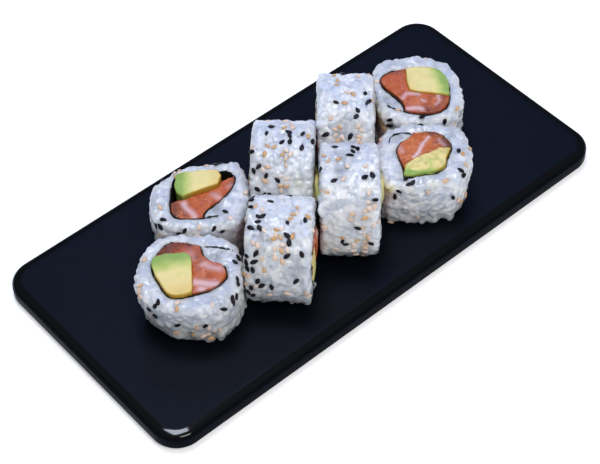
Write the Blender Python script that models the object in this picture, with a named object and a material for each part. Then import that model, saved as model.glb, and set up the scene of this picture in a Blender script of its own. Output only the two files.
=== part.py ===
"""Eight cut pieces of uramaki, an inside-out sushi roll, on a black rectangular plate.

Metres, +Z up. The origin is the middle of the plate's underside, and +X runs along the plate.
The pieces stand in two rows, called back (+Y) and front (-Y), numbered from -X to +X. Pieces 1
and 4 of each row stand on a cut face. Pieces 2 and 3 lie on their rolled side.

Each piece is a thick ring of rice. A thin sheet of nori coils once round the fillings and runs
out into the rice as a free tail, and a strip of salmon and a strip of avocado fill the coil.
A piece is modelled about its own middle with its length along Z, then placed by an empty.
"""

import math
from dataclasses import dataclass

import bmesh
import bpy
from mathutils import Vector, noise

MM = 0.001
GAP = 0.3 * MM  # clearance between neighbouring solids

# Plate
PLATE_LENGTH = 250 * MM
PLATE_WIDTH = 119 * MM
PLATE_THICKNESS = 9 * MM
PLATE_CORNER = 12.5 * MM  # radius of the corners in plan
PLATE_TOP_EDGE = 1 * MM  # radius of the edge round the top
PLATE_FOOT_EDGE = 3 * MM  # radius of the edge round the underside

# Pieces
SIDES = 26  # sides of a piece's outline
RIM = 2.6 * MM  # rounding where the rolled side meets a cut face
LUMPS = 0.45 * MM  # how far the grains push the side in and out
LUMP_SIZE = 5 * MM
FLAT = 0.4 * MM  # how much a lying piece is pressed flat where it rests
NORI = 0.5 * MM  # thickness of the sheet
STEPS = 2  # straight lengths between two points of a nori path
ROW_TURN = -40.5  # degrees from the plate's length to the pieces' common x axis
SQUARENESS = 2.6  # exponent of a lying piece's rounded-square outline

# Height of each layer over the rice's cut face
AVOCADO_PROUD = 0.9 * MM
SALMON_PROUD = 0.3 * MM
NORI_PROUD = -0.2 * MM
PROUD_LYING = 0.3 * MM
OVERSHOOT = 4 * MM  # how far a cutter passes the cut faces

# sRGB colours as linear values
RICE_COLOUR = (0.62, 0.66, 0.74)
NORI_COLOUR = (0.006, 0.008, 0.007)
SALMON_COLOUR = (0.53, 0.16, 0.07)
AVOCADO_COLOUR = (0.66, 0.66, 0.25)
PLATE_COLOUR = (0.010, 0.012, 0.020)


@dataclass(frozen=True)
class Section:
    """How the fillings lie in a piece, in millimetres about its middle.

    nori is the sheet's path from the tip of its tail to its inner end. The coil starts at the
    point numbered coil, which the inner end comes back to. The fillings' outlines may pass the
    nori, which trims them. Salmon without an outline takes all the room the avocado leaves.
    """

    nori: tuple
    coil: int
    avocado: tuple
    salmon: tuple = ()


@dataclass(frozen=True)
class Piece:
    """One piece: where its middle is on the plate, and how it is cut and shaped.

    radii is the outline's radius every 22.5 degrees from +x, in millimetres, or one number for
    a rounded square. turn rotates the fillings. lean is how far the foot is shifted from the
    top, and foot is the foot's size over the top's.
    """

    name: str
    section: Section
    x: float
    y: float
    length: float
    radii: tuple
    lying: bool = False
    yaw: float = ROW_TURN
    turn: float = 0.0
    lean: tuple = (0.0, 0.0)
    foot: float = 1.0


# A slab of avocado above a fold of salmon, with small hollows beside the slab
SLAB = Section(
    nori=((10.5, -12.8), (3.3, -13.6), (-4.5, -14.2), (-9.6, -12.9), (-11.8, -8.5), (-11.7, -1.0),
          (-11.3, 5.5), (-9.4, 10.4), (-3.0, 11.9), (5.0, 12.9), (11.5, 12.3), (15.6, 10.4),
          (15.6, 5.6), (12.6, -0.6), (8.0, -5.6), (4.2, -9.4), (2.6, -12.2)),
    coil=1,
    avocado=((-9.3, 14.0), (-9.9, 4.3), (-9.0, -0.4), (-6.4, -2.4), (3.8, 2.2), (8.5, 4.4),
             (9.7, 9.1), (7.0, 15.0)),
    salmon=((-14.0, -5.6), (-8.5, -3.4), (-5.9, -2.9), (3.8, 1.8), (8.6, 3.8), (10.2, 7.3),
            (12.7, 9.3), (18.0, 10.0), (18.0, 0.0), (9.0, -9.0), (4.0, -17.0), (-14.0, -17.0)),
)

# A block of avocado in one corner, salmon folded round two of its sides, and a pocket of rice
BLOCK = Section(
    nori=((18.0, 10.2), (12.0, 12.1), (5.0, 12.9), (-2.0, 15.0), (-8.0, 15.3), (-12.6, 11.0),
          (-15.7, 4.0), (-15.0, -1.5), (-11.8, -7.8), (-9.0, -13.0), (-4.6, -14.8),
          (2.0, -13.2), (9.5, -10.6), (14.6, -6.2), (15.9, -1.0), (13.4, 3.4), (8.4, 5.2),
          (5.6, 8.4), (4.9, 11.4)),
    coil=2,
    avocado=((-20.0, 3.0), (-14.2, 6.0), (-9.0, 7.6), (-1.6, 7.9), (0.6, 6.2), (1.3, -2.2),
             (1.6, -9.6), (1.4, -19.0), (-14.0, -19.0), (-20.0, -8.0)),
)

# A rounded cube of avocado in one corner, with salmon beside it and under it
CORNER = Section(
    nori=((-14.0, -9.8), (-10.8, -12.2), (-7.0, -13.8), (-2.0, -15.0), (4.0, -15.6),
          (9.8, -14.2), (13.4, -9.6), (14.4, -2.5), (14.0, 4.5), (11.2, 10.8), (5.5, 13.5),
          (-2.0, 13.7), (-9.0, 12.6), (-14.6, 9.8), (-16.8, 5.4), (-14.4, 0.2), (-10.2, -4.6),
          (-7.6, -8.8), (-6.9, -12.4)),
    coil=2,
    avocado=((-4.6, 19.0), (-4.7, 9.8), (-4.4, 3.3), (-3.6, -1.2), (0.0, -2.4), (6.0, -3.4),
             (12.5, -4.3), (19.0, -4.5), (19.0, 19.0)),
)

# Salmon over avocado, with a thin pocket of rice where the sheet's ends overlap
HALVES = Section(
    nori=((-14.9, 7.8), (-14.0, 11.2), (-10.4, 13.5), (-4.4, 13.5), (2.5, 14.4), (8.6, 12.2),
          (12.2, 6.8), (12.0, 2.4), (9.8, -2.4), (9.2, -6.4), (5.4, -9.9), (-0.5, -11.2),
          (-5.6, -12.4), (-9.2, -12.6), (-9.4, -8.6), (-10.4, -4.0), (-12.0, 2.4), (-10.6, 7.0),
          (-7.2, 9.6), (-4.8, 12.1)),
    coil=3,
    avocado=((-16.0, -9.0), (-9.0, -8.6), (-6.4, -4.0), (-1.8, -0.9), (2.7, 0.5), (6.3, 3.2),
             (9.6, 3.6), (17.0, 3.0), (17.0, -18.0), (-16.0, -18.0)),
)

PIECES = (
    Piece("back_1", SLAB, x=-44.9, y=20.3, length=26, foot=0.97, lean=(0.8, 0.4),
          radii=(21.6, 22.8, 25.0, 19.5, 17.5, 17.0, 17.5, 19.0,
                 21.0, 22.0, 24.0, 20.5, 19.5, 21.0, 24.0, 22.5)),
    Piece("back_2", SLAB, x=-6.2, y=9.0, length=27.2, radii=(20.8,), lying=True, yaw=-43.2,
          turn=170),
    Piece("back_3", CORNER, x=32.8, y=11.8, length=25.2, radii=(21.2,), lying=True, yaw=-42.0),
    Piece("back_4", CORNER, x=68.8, y=3.0, length=26, foot=0.98,
          radii=(20.0, 20.5, 22.5, 22.5, 23.0, 22.5, 25.5, 22.0,
                 19.0, 19.4, 22.4, 20.8, 19.6, 20.2, 22.5, 22.0)),
    Piece("front_1", BLOCK, x=-74.1, y=-9.7, length=25, foot=0.93, lean=(2.0, 2.4),
          radii=(21.7, 22.8, 24.0, 21.5, 20.5, 22.0, 22.5, 22.0,
                 22.0, 24.0, 23.0, 22.0, 22.0, 23.0, 24.0, 22.6)),
    Piece("front_2", BLOCK, x=-35.2, y=-22.7, length=28.0, radii=(20.4,), lying=True, yaw=-45.0),
    Piece("front_3", HALVES, x=3.8, y=-22.5, length=25.4, radii=(22.2,), lying=True, yaw=-41.0,
          turn=130),
    Piece("front_4", HALVES, x=42.7, y=-28.3, length=26, foot=0.95, lean=(-1.2, 0.0),
          radii=(21.0, 21.5, 24.5, 21.4, 19.6, 20.5, 23.2, 21.6,
                 19.8, 20.6, 23.5, 20.0, 17.5, 18.0, 21.0, 21.0)),
)


def clear_scene():
    """Remove every object that is there before the model."""
    for obj in list(bpy.data.objects):
        bpy.data.objects.remove(obj, do_unlink=True)


def new_collection(name):
    """Return a new collection of this name in the scene."""
    collection = bpy.data.collections.new(name)
    bpy.context.scene.collection.children.link(collection)
    return collection


def new_material(name, colour, roughness):
    """Return a material with one colour and roughness."""
    material = bpy.data.materials.new(name)
    material.use_nodes = True
    shader = material.node_tree.nodes["Principled BSDF"]
    shader.inputs["Base Color"].default_value = (*colour, 1)
    shader.inputs["Roughness"].default_value = roughness
    return material


def new_object(name, mesh, collection, material=None, parent=None):
    """Return an object with this mesh, which moves with its parent."""
    if material:
        mesh.materials.append(material)
    obj = bpy.data.objects.new(name, mesh)
    obj.parent = parent
    collection.objects.link(obj)
    return obj


def smooth_path(points, steps):
    """Return points along a smooth curve through the given points, steps to each stretch."""
    ends = [2 * points[0] - points[1], *points, 2 * points[-1] - points[-2]]
    path = []
    for a, b, c, d in zip(ends, ends[1:], ends[2:], ends[3:]):
        for step in range(steps):
            t = step / steps
            path.append(0.5 * (2 * b + (c - a) * t + (2 * a - 5 * b + 4 * c - d) * t ** 2
                               + (3 * b - a - 3 * c + d) * t ** 3))
    return [*path, points[-1]]


def signed_area(points):
    """Return a closed outline's area, positive when it runs anticlockwise."""
    return sum(a.cross(b) for a, b in zip(points, points[1:] + points[:1])) / 2


def grown(points, distance):
    """Return a closed outline moved outwards by a distance, or inwards by a negative one."""
    side = math.copysign(1, signed_area(points))
    moved = []
    for before, point, after in zip(points[-1:] + points[:-1], points, points[1:] + points[:1]):
        first = (point - before).normalized()
        second = (after - point).normalized()
        normal = (Vector((first.y, -first.x)) + Vector((second.y, -second.x))).normalized()
        reach = max(0.5, normal.dot(Vector((first.y, -first.x))))
        moved.append(point + side * normal * distance / reach)
    return moved


def strip(path, width):
    """Return the closed outline of a strip of this width along an open path."""
    left, right = [], []
    for before, point, after in zip(path[:1] + path[:-1], path, path[1:] + path[-1:]):
        along = (after - before).normalized()
        across = Vector((-along.y, along.x)) * width / 2
        left.append(point + across)
        right.append(point - across)
    return left + right[::-1]


def prism(name, outline, low, high):
    """Return a mesh that is a flat outline given height, from low to high along Z."""
    curve = bpy.data.curves.new(name, "CURVE")
    curve.dimensions = "2D"
    curve.fill_mode = "BOTH"
    curve.extrude = (high - low) / 2
    spline = curve.splines.new("POLY")
    spline.points.add(len(outline) - 1)
    for target, point in zip(spline.points, outline):
        target.co = (point.x, point.y, 0, 1)
    spline.use_cyclic_u = True
    holder = bpy.data.objects.new(name, curve)
    bpy.context.scene.collection.objects.link(holder)
    bpy.context.view_layer.update()
    mesh = bpy.data.meshes.new_from_object(
        holder.evaluated_get(bpy.context.evaluated_depsgraph_get()))
    bpy.data.objects.remove(holder, do_unlink=True)
    bm = bmesh.new()
    bm.from_mesh(mesh)
    bmesh.ops.remove_doubles(bm, verts=bm.verts, dist=0.01 * MM)
    bmesh.ops.translate(bm, verts=bm.verts, vec=(0, 0, (high + low) / 2))
    bmesh.ops.recalc_face_normals(bm, faces=bm.faces)
    bm.to_mesh(mesh)
    bm.free()
    return mesh


def outline_radius(piece, angle):
    """Return a piece's radius in metres at an angle in radians."""
    if len(piece.radii) == 1:
        c, s = abs(math.cos(angle)), abs(math.sin(angle))
        return piece.radii[0] * MM / (c ** SQUARENESS + s ** SQUARENESS) ** (1 / SQUARENESS)
    count = len(piece.radii)
    place = angle / math.tau * count
    index = math.floor(place)
    t = (1 - math.cos(math.pi * (place - index))) / 2
    return MM * ((1 - t) * piece.radii[index % count] + t * piece.radii[(index + 1) % count])


def rim_profile(length):
    """Return (height, inset) of each ring of a piece's side, from its foot to its top."""
    corner = RIM * (1 - math.sqrt(0.5))
    lower = [(0, RIM), (corner, corner), (RIM, 0)]
    upper = [(length - height, inset) for height, inset in reversed(lower)]
    return lower + [(length / 2, 0)] + upper


def leant(piece, mesh):
    """Shift and shrink a piece's mesh towards its foot, as soft rice settles."""
    length = piece.length * MM
    for vertex in mesh.vertices:
        drop = 0.5 - vertex.co.z / length
        size = 1 - (1 - piece.foot) * drop
        vertex.co.x = vertex.co.x * size + piece.lean[0] * MM * drop
        vertex.co.y = vertex.co.y * size + piece.lean[1] * MM * drop
    return mesh


def rice_blank(piece):
    """Return the mesh of a piece's rice before it is hollowed: a lumpy, round-edged drum."""
    profile = rim_profile(piece.length * MM)
    seed = Vector((piece.x, piece.y, 0))
    bm = bmesh.new()
    bmesh.ops.create_cone(bm, cap_ends=True, segments=SIDES, radius1=1, radius2=1, depth=2)
    upright = [e for e in bm.edges if abs(e.verts[0].co.z - e.verts[1].co.z) > 1]
    bmesh.ops.subdivide_edges(bm, edges=upright, cuts=len(profile) - 2)
    for vertex in bm.verts:
        ring = round((vertex.co.z + 1) / 2 * (len(profile) - 1))
        height, inset = profile[ring]
        angle = math.atan2(vertex.co.y, vertex.co.x)
        radius = outline_radius(piece, angle) - inset
        place = Vector((radius * math.cos(angle), radius * math.sin(angle),
                        height - piece.length * MM / 2))
        if inset < RIM:
            radius += LUMPS * noise.noise(place / LUMP_SIZE + seed)
        flat = (FLAT - piece.radii[0] * MM) if piece.lying else -math.inf
        vertex.co = (radius * math.cos(angle), max(flat, radius * math.sin(angle)), place.z)
    bmesh.ops.recalc_face_normals(bm, faces=bm.faces)
    mesh = bpy.data.meshes.new(f"rice_{piece.name}")
    bm.to_mesh(mesh)
    bm.free()
    return leant(piece, mesh)


def turned(points, degrees):
    """Return points in millimetres as vectors in metres, turned about the origin."""
    c, s = math.cos(math.radians(degrees)), math.sin(math.radians(degrees))
    return [Vector((x * c - y * s, x * s + y * c)) * MM for x, y in points]


def add_boolean(obj, operation, cutter):
    """Cut an object with a cutter, or keep only what is inside it."""
    modifier = obj.modifiers.new(cutter.name, "BOOLEAN")
    modifier.operation = operation
    modifier.solver = "EXACT"
    modifier.object = cutter


def make_cutter(name, piece, outline, collection, parent):
    """Return a cutter that passes both cut faces of a piece."""
    half = piece.length * MM / 2 + OVERSHOOT
    cutter = new_object(name, leant(piece, prism(name, outline, -half, half)), collection,
                        parent=parent)
    cutter.hide_render = True
    cutter.display_type = "WIRE"
    return cutter


def make_stand(piece):
    """Return the empty that places a piece: upright, or lying with its length along yaw."""
    stand = bpy.data.objects.new(f"stand_{piece.name}", None)
    rest = PLATE_THICKNESS + GAP
    if piece.lying:
        stand.location = (piece.x * MM, piece.y * MM, rest + piece.radii[0] * MM - FLAT)
        stand.rotation_euler = (math.radians(90), 0, math.radians(piece.yaw + 90))
    else:
        stand.location = (piece.x * MM, piece.y * MM, rest + piece.length * MM / 2)
        stand.rotation_euler = (0, 0, math.radians(piece.yaw))
    return stand


def make_piece(piece, food, cutters, materials):
    """Build one piece: its rice, nori, salmon and avocado, each a solid of its own."""
    stand = make_stand(piece)
    food.objects.link(stand)
    section = piece.section
    half = piece.length * MM / 2
    foot = -half

    path = smooth_path(turned(section.nori, piece.turn), STEPS)
    coil = path[section.coil * STEPS:]
    tail = path[:section.coil * STEPS + 1]
    tip = tail[0] + (tail[0] - tail[1]).normalized() * GAP
    clearance = NORI / 2 + GAP
    bore = make_cutter(f"bore_{piece.name}", piece, grown(coil, clearance), cutters, stand)
    lining = make_cutter(f"lining_{piece.name}", piece, grown(coil, -clearance), cutters, stand)
    slot = make_cutter(f"slot_{piece.name}", piece, strip([tip, *tail], 2 * clearance), cutters,
                       stand)
    block = turned(section.avocado, piece.turn)
    room = make_cutter(f"room_{piece.name}", piece, grown(block, GAP), cutters, stand)

    rice = new_object(f"rice_{piece.name}", rice_blank(piece), food, materials["rice"], stand)
    add_boolean(rice, "DIFFERENCE", bore)
    add_boolean(rice, "DIFFERENCE", slot)

    def layer(kind, outline, proud):
        """Return a flat-cut layer that runs through the piece."""
        low = foot - PROUD_LYING if piece.lying else foot
        high = half + (PROUD_LYING if piece.lying else proud)
        name = f"{kind}_{piece.name}"
        mesh = leant(piece, prism(name, outline, low, high))
        return new_object(name, mesh, food, materials[kind], stand)

    layer("nori", strip(path, NORI), NORI_PROUD)
    add_boolean(layer("avocado", block, AVOCADO_PROUD), "INTERSECT", lining)
    salmon = layer("salmon", turned(section.salmon, piece.turn) or coil, SALMON_PROUD)
    add_boolean(salmon, "INTERSECT", lining)
    add_boolean(salmon, "DIFFERENCE", room)


def rounded(bm, edges, radius, segments):
    """Round edges to a radius."""
    bmesh.ops.bevel(bm, geom=edges, offset=radius, segments=segments, profile=0.5,
                    affect="EDGES", clamp_overlap=False)


def ring_at(bm, height):
    """Return the edges of the outline that lies at one height."""
    return [e for e in bm.edges
            if all(abs(v.co.z - height) < 0.01 * MM for v in e.verts) and not e.is_boundary
            and any(abs(f.normal.z) < 0.5 for f in e.link_faces)]


def make_plate(collection, material):
    """Build the plate: a flat slab with round corners and softened edges."""
    bm = bmesh.new()
    bmesh.ops.create_cube(bm, size=1)
    bmesh.ops.scale(bm, verts=bm.verts, vec=(PLATE_LENGTH, PLATE_WIDTH, PLATE_THICKNESS))
    bmesh.ops.translate(bm, verts=bm.verts, vec=(0, 0, PLATE_THICKNESS / 2))
    upright = [e for e in bm.edges if abs(e.verts[0].co.z - e.verts[1].co.z) > 1 * MM]
    rounded(bm, upright, PLATE_CORNER, 8)
    bm.normal_update()
    rounded(bm, ring_at(bm, PLATE_THICKNESS), PLATE_TOP_EDGE, 2)
    bm.normal_update()
    rounded(bm, ring_at(bm, 0), PLATE_FOOT_EDGE, 3)
    mesh = bpy.data.meshes.new("plate")
    bm.to_mesh(mesh)
    bm.free()
    mesh.shade_smooth()
    mesh.set_sharp_from_angle(angle=math.radians(35))
    return new_object("plate", mesh, collection, material)


def main():
    """Build the plate and the eight pieces."""
    clear_scene()
    food = new_collection("uramaki_on_plate")
    cutters = new_collection("cutters")
    materials = {
        "rice": new_material("rice", RICE_COLOUR, 0.45),
        "nori": new_material("nori", NORI_COLOUR, 0.6),
        "salmon": new_material("salmon", SALMON_COLOUR, 0.3),
        "avocado": new_material("avocado", AVOCADO_COLOUR, 0.4),
    }
    make_plate(food, new_material("glazed_black", PLATE_COLOUR, 0.45))
    for piece in PIECES:
        make_piece(piece, food, cutters, materials)


main()
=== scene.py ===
"""Looks of eight cut pieces of uramaki on a black stoneware plate.

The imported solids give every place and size. Each piece of roll is dressed from its four solids:
the rice becomes grains bedded on a smaller core, the salmon and the avocado become soft moist
flesh with their fat lines and ripening, and the nori gets its torn edges. Sesame seeds, black
and toasted, are pressed into the rolled sides.

Metres, +Z up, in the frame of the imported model.
"""

import logging
import math
from collections.abc import Callable
from dataclasses import dataclass, field
from enum import Enum
from functools import partial

import bmesh
import bpy
import numpy as np
from bpy.types import Material, Mesh, Node, NodeSocket, NodeTree, Object
from mathutils import Matrix, Vector, noise
from mathutils.bvhtree import BVHTree


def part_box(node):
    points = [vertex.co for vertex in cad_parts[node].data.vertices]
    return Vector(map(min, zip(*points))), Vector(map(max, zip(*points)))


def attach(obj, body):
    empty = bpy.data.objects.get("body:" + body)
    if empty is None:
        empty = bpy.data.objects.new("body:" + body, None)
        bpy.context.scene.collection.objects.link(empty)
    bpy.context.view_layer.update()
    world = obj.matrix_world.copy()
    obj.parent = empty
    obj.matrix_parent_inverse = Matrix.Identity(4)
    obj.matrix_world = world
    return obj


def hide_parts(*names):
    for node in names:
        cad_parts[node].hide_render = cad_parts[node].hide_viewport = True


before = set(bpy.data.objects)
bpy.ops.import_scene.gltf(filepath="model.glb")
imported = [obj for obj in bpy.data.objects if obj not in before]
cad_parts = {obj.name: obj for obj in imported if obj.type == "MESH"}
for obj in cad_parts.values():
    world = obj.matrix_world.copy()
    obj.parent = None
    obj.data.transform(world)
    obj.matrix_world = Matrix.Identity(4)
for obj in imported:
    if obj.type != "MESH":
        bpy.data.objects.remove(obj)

LOG = logging.getLogger("uramaki")
MM = 0.001
TINY = 1e-9

Points = np.ndarray  # one row of x, y, z for each point


# ---- Small tools ----


def linear(hex_colour: str) -> tuple[float, float, float, float]:
    """Turn an sRGB hex colour into linear red, green, blue and alpha.

    Args:
        hex_colour: Six hex digits, such as "e6d796".

    Returns:
        The linear colour, opaque.
    """
    channels = [int(hex_colour[i : i + 2], 16) / 255 for i in (0, 2, 4)]
    bent = [c / 12.92 if c <= 0.04045 else ((c + 0.055) / 1.055) ** 2.4 for c in channels]
    return (*bent, 1.0)


def fill_inputs(node: Node, inputs: dict | tuple) -> None:
    """Set or link a node's inputs.

    Args:
        node: The node.
        inputs: For an input's name or number, the value it holds, the socket that feeds it or the
            node whose first output does. A plain row of these is for the first inputs in order.
    """
    for key, value in inputs.items() if isinstance(inputs, dict) else enumerate(inputs):
        if isinstance(value, Node):
            value = value.outputs[0]
        if isinstance(value, NodeSocket):
            node.id_data.links.new(value, node.inputs[key])
        else:
            node.inputs[key].default_value = value


def add_node(
    tree: NodeTree, kind: str, inputs: dict | tuple = (), **settings: object
) -> Node:
    """Add a node to a shader or geometry tree.

    Args:
        tree: The tree that gets the node.
        kind: The node's Blender type name, without its ShaderNode where it has that.
        inputs: What its inputs hold or are fed by, as fill_inputs takes it.
        settings: Values for the node's own properties.

    Returns:
        The new node.
    """
    node = tree.nodes.new(kind if "Node" in kind else f"ShaderNode{kind}")
    for name, value in settings.items():
        setattr(node, name, value)
    fill_inputs(node, inputs)
    return node


def read_points(mesh: Mesh) -> Points:
    """Return a mesh's vertex places."""
    flat = np.empty(len(mesh.vertices) * 3, np.float32)
    mesh.vertices.foreach_get("co", flat)
    return flat.reshape(-1, 3).astype(float)


def read_normals(mesh: Mesh) -> Points:
    """Return a mesh's vertex normals."""
    flat = np.empty(len(mesh.vertices) * 3, np.float32)
    mesh.vertex_normals.foreach_get("vector", flat)
    return flat.reshape(-1, 3).astype(float)


def write_points(mesh: Mesh, places: Points) -> None:
    """Move a mesh's vertices to new places."""
    mesh.vertices.foreach_set("co", places.astype(np.float32).ravel())
    mesh.update()


def write_values(mesh: Mesh, **values: np.ndarray) -> None:
    """Store attributes on a mesh, which materials and node trees read.

    Args:
        mesh: The mesh.
        values: Under each attribute's name, one number or one row of three for each vertex.
    """
    for name, rows in values.items():
        vector = rows.ndim == 2
        layer = mesh.attributes.new(name, "FLOAT_VECTOR" if vector else "FLOAT", "POINT")
        layer.data.foreach_set("vector" if vector else "value", rows.astype(np.float32).ravel())


def smooth_step(values: np.ndarray, low: float, high: float) -> np.ndarray:
    """Return 0 below low, 1 above high and a soft rise between them."""
    share = np.clip((values - low) / (high - low), 0, 1)
    return share * share * (3 - 2 * share)


def wobble(places: Points, size: float, seed: float) -> np.ndarray:
    """Return smooth noise from about -1 to 1 at each place.

    Args:
        places: Points in metres.
        size: How far apart the noise's humps are, in metres.
        seed: Shifts the pattern.

    Returns:
        One number for each place.
    """
    shift = Vector((seed, seed * 1.7, seed * 0.3))
    return np.array([noise.noise(Vector(p) / size + shift) for p in places])


def neighbour_mean(mesh: Mesh, values: np.ndarray, rounds: int) -> np.ndarray:
    """Average values over a mesh's neighbouring vertices.

    Args:
        mesh: The mesh whose edges say which vertices are neighbours.
        values: One row for each vertex.
        rounds: How many times the averaging is repeated.

    Returns:
        The averaged rows.
    """
    ends = np.empty(len(mesh.edges) * 2, np.int32)
    mesh.edges.foreach_get("vertices", ends)
    a, b = ends.reshape(-1, 2).T
    size = len(values)
    counts = np.bincount(ends, minlength=size).clip(1)[:, None]
    for _ in range(rounds):
        total = [np.bincount(a, c[b], size) + np.bincount(b, c[a], size) for c in values.T]
        values = 0.5 * values + 0.5 * np.stack(total, axis=1) / counts
    return values


def link_object(name: str, mesh: Mesh) -> Object:
    """Return a new object in the scene that shows a mesh."""
    obj = bpy.data.objects.new(name, mesh)
    bpy.context.scene.collection.objects.link(obj)
    return obj


def mesh_from(bm: bmesh.types.BMesh, name: str) -> Mesh:
    """Make a mesh from a bmesh.

    Args:
        bm: The bmesh, which is freed.
        name: The mesh's name.

    Returns:
        The mesh.
    """
    mesh = bpy.data.meshes.new(name)
    bm.to_mesh(mesh)
    bm.free()
    return mesh


def copy_of_solid(node: str, name: str) -> Object:
    """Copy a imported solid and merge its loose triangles.

    Args:
        node: The solid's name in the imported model.
        name: The copy's name.

    Returns:
        The copy.
    """
    bm = bmesh.new()
    bm.from_mesh(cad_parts[node].data)
    bmesh.ops.remove_doubles(bm, verts=bm.verts, dist=0.005 * MM)
    return link_object(name, mesh_from(bm, name))


def tree_of(obj: Object) -> BVHTree:
    """Return an object's surface, ready for rays and nearest places."""
    return BVHTree.FromObject(obj, bpy.context.evaluated_depsgraph_get())


def bake_modifiers(obj: Object) -> None:
    """Replace an object's mesh with what its modifiers make of it.

    Args:
        obj: The object, which loses its modifiers.
    """
    bpy.context.view_layer.update()
    depsgraph = bpy.context.evaluated_depsgraph_get()
    mesh = bpy.data.meshes.new_from_object(obj.evaluated_get(depsgraph), depsgraph=depsgraph)
    mesh.name = obj.name
    obj.modifiers.clear()
    obj.data = mesh


def fuse(obj: Object, voxel: float, strength: float, rounds: int) -> None:
    """Fuse an object, with what its modifiers add, into one even skin with softened edges.

    Args:
        obj: The object.
        voxel: The size of the skin's cells.
        strength: How far each round of softening goes.
        rounds: How many rounds there are.
    """
    remesh = obj.modifiers.new("fuse", "REMESH")
    remesh.mode = "VOXEL"
    remesh.voxel_size = voxel
    remesh.use_smooth_shade = True
    smooth = obj.modifiers.new("soften", "SMOOTH")
    smooth.factor = strength
    smooth.iterations = rounds
    bake_modifiers(obj)


def add_tree(obj: Object, tree: NodeTree, inputs: dict[str, object]) -> None:
    """Add a Geometry Nodes modifier.

    Args:
        obj: The object that gets it.
        tree: Its tree.
        inputs: What each of the tree's named inputs is set to, by its socket's identifier.
    """
    modifier = obj.modifiers.new(tree.name, "NODES")
    modifier.node_group = tree
    sockets = {s.name: s.identifier for s in tree.interface.items_tree if s.in_out == "INPUT"}
    for name, value in inputs.items():
        modifier[sockets[name]] = value


def new_geometry_tree(name: str, **inputs: str) -> tuple:
    """Start a Geometry Nodes tree.

    Args:
        name: The tree's name.
        inputs: The kind of each input after the geometry, whose name is given with _ for a space.

    Returns:
        The tree, what adds a node to it, its inputs and its Group Output node.
    """
    tree = bpy.data.node_groups.new(name, "GeometryNodeTree")
    tree.interface.new_socket("Geometry", in_out="OUTPUT", socket_type="NodeSocketGeometry")
    for label, kind in {"Geometry": "Geometry", **inputs}.items():
        label = label.replace("_", " ")
        tree.interface.new_socket(label, in_out="INPUT", socket_type=f"NodeSocket{kind}")
    node = partial(add_node, tree)
    return tree, node, node("NodeGroupInput").outputs, node("NodeGroupOutput")


def dress(mesh: Mesh, material: Material) -> None:
    """Give a whole mesh one finish and smooth shading."""
    mesh.materials.clear()
    mesh.materials.append(material)
    mesh.shade_smooth()


def hand_in(obj: Object, slot: str, *solids: str) -> None:
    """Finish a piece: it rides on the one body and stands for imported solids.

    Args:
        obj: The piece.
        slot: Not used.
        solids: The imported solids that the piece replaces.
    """
    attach(obj, "root")
    if solids:
        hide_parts(*solids)
    LOG.info("%s: %d faces", obj.name, len(obj.data.polygons))


# ---- Finishes ----


def lay_colours(node: Callable, ground: str, *coats: tuple) -> NodeSocket:
    """Lay colours over each other, each as far as its share says.

    Args:
        node: What adds a node to the material.
        ground: The lowest colour.
        coats: The share and the colour of each layer above it, from the lowest up.

    Returns:
        The colour that they make together.
    """
    colour = linear(ground)
    for share, coat in coats:
        coat = linear(coat) if isinstance(coat, str) else coat
        colour = node("Mix", {0: share, 6: colour, 7: coat}, data_type="RGBA").outputs[2]
    return colour


def read_attributes(node: Callable, *names: str) -> list[NodeSocket]:
    """Return what a piece stores under each name."""
    return [node("Attribute", attribute_name=name).outputs["Fac"] for name in names]


@dataclass(frozen=True)
class Finish:
    """What the surface of a piece is made of."""

    name: str

    def look(self, node: Callable) -> dict[str, object]:
        """Say how the surface looks.

        Args:
            node: What adds a node to the material.

        Returns:
            What each input of the shader holds or is fed by, with _ for a space in its name.
        """
        raise NotImplementedError

    def material(self) -> Material:
        """Build a Principled material fed by the finish's own nodes.

        Returns:
            The material.
        """
        material = bpy.data.materials.new(self.name)
        material.use_nodes = True
        tree = material.node_tree
        inputs = self.look(partial(add_node, tree))
        shader = tree.nodes["Principled BSDF"]
        fill_inputs(shader, {name.replace("_", " "): value for name, value in inputs.items()})
        return material


@dataclass(frozen=True)
class StonewareGlaze(Finish):
    """Black glazed stoneware, dipped and fired.

    The eye gets a deep navy-black face with a soft satin haze, faint cloudy patches where the
    glaze lies thicker and the wiped smears of a plate that has been handled.
    """

    thick: str
    thin: str
    roughness: tuple[float, float]
    specular: float
    index: float = 1.5
    cloud_size: float = 42 * MM
    smear_size: float = 14 * MM
    peel_size: float = 1.4 * MM  # drawn a little coarser than a real glaze's orange peel
    peel_depth: float = 0.012 * MM

    def look(self, node: Callable) -> dict[str, object]:
        """Say how the glaze looks.

        Args:
            node: What adds a node to the material.

        Returns:
            The shader's inputs.
        """
        where = node("TexCoord").outputs["Object"]
        clouds, smears, peel = (
            node("TexNoise", {"Vector": where, "Scale": 1 / size, "Detail": detail,
                              "Roughness": rough, "Distortion": bend})
            for size, detail, rough, bend in (
                (self.cloud_size, 4.0, 0.5, 0.6), (self.smear_size, 6.0, 0.65, 1.4),
                (self.peel_size, 2.0, 0.5, 0.0),
            )
        )
        return dict(
            Base_Color=lay_colours(node, self.thick, (clouds, self.thin)),
            Roughness=node("MapRange", (smears, 0.3, 0.7, *self.roughness)),
            Normal=node("Bump", {"Height": peel, "Distance": self.peel_depth}),
            IOR=self.index,
            Specular_IOR_Level=self.specular,
        )


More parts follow.
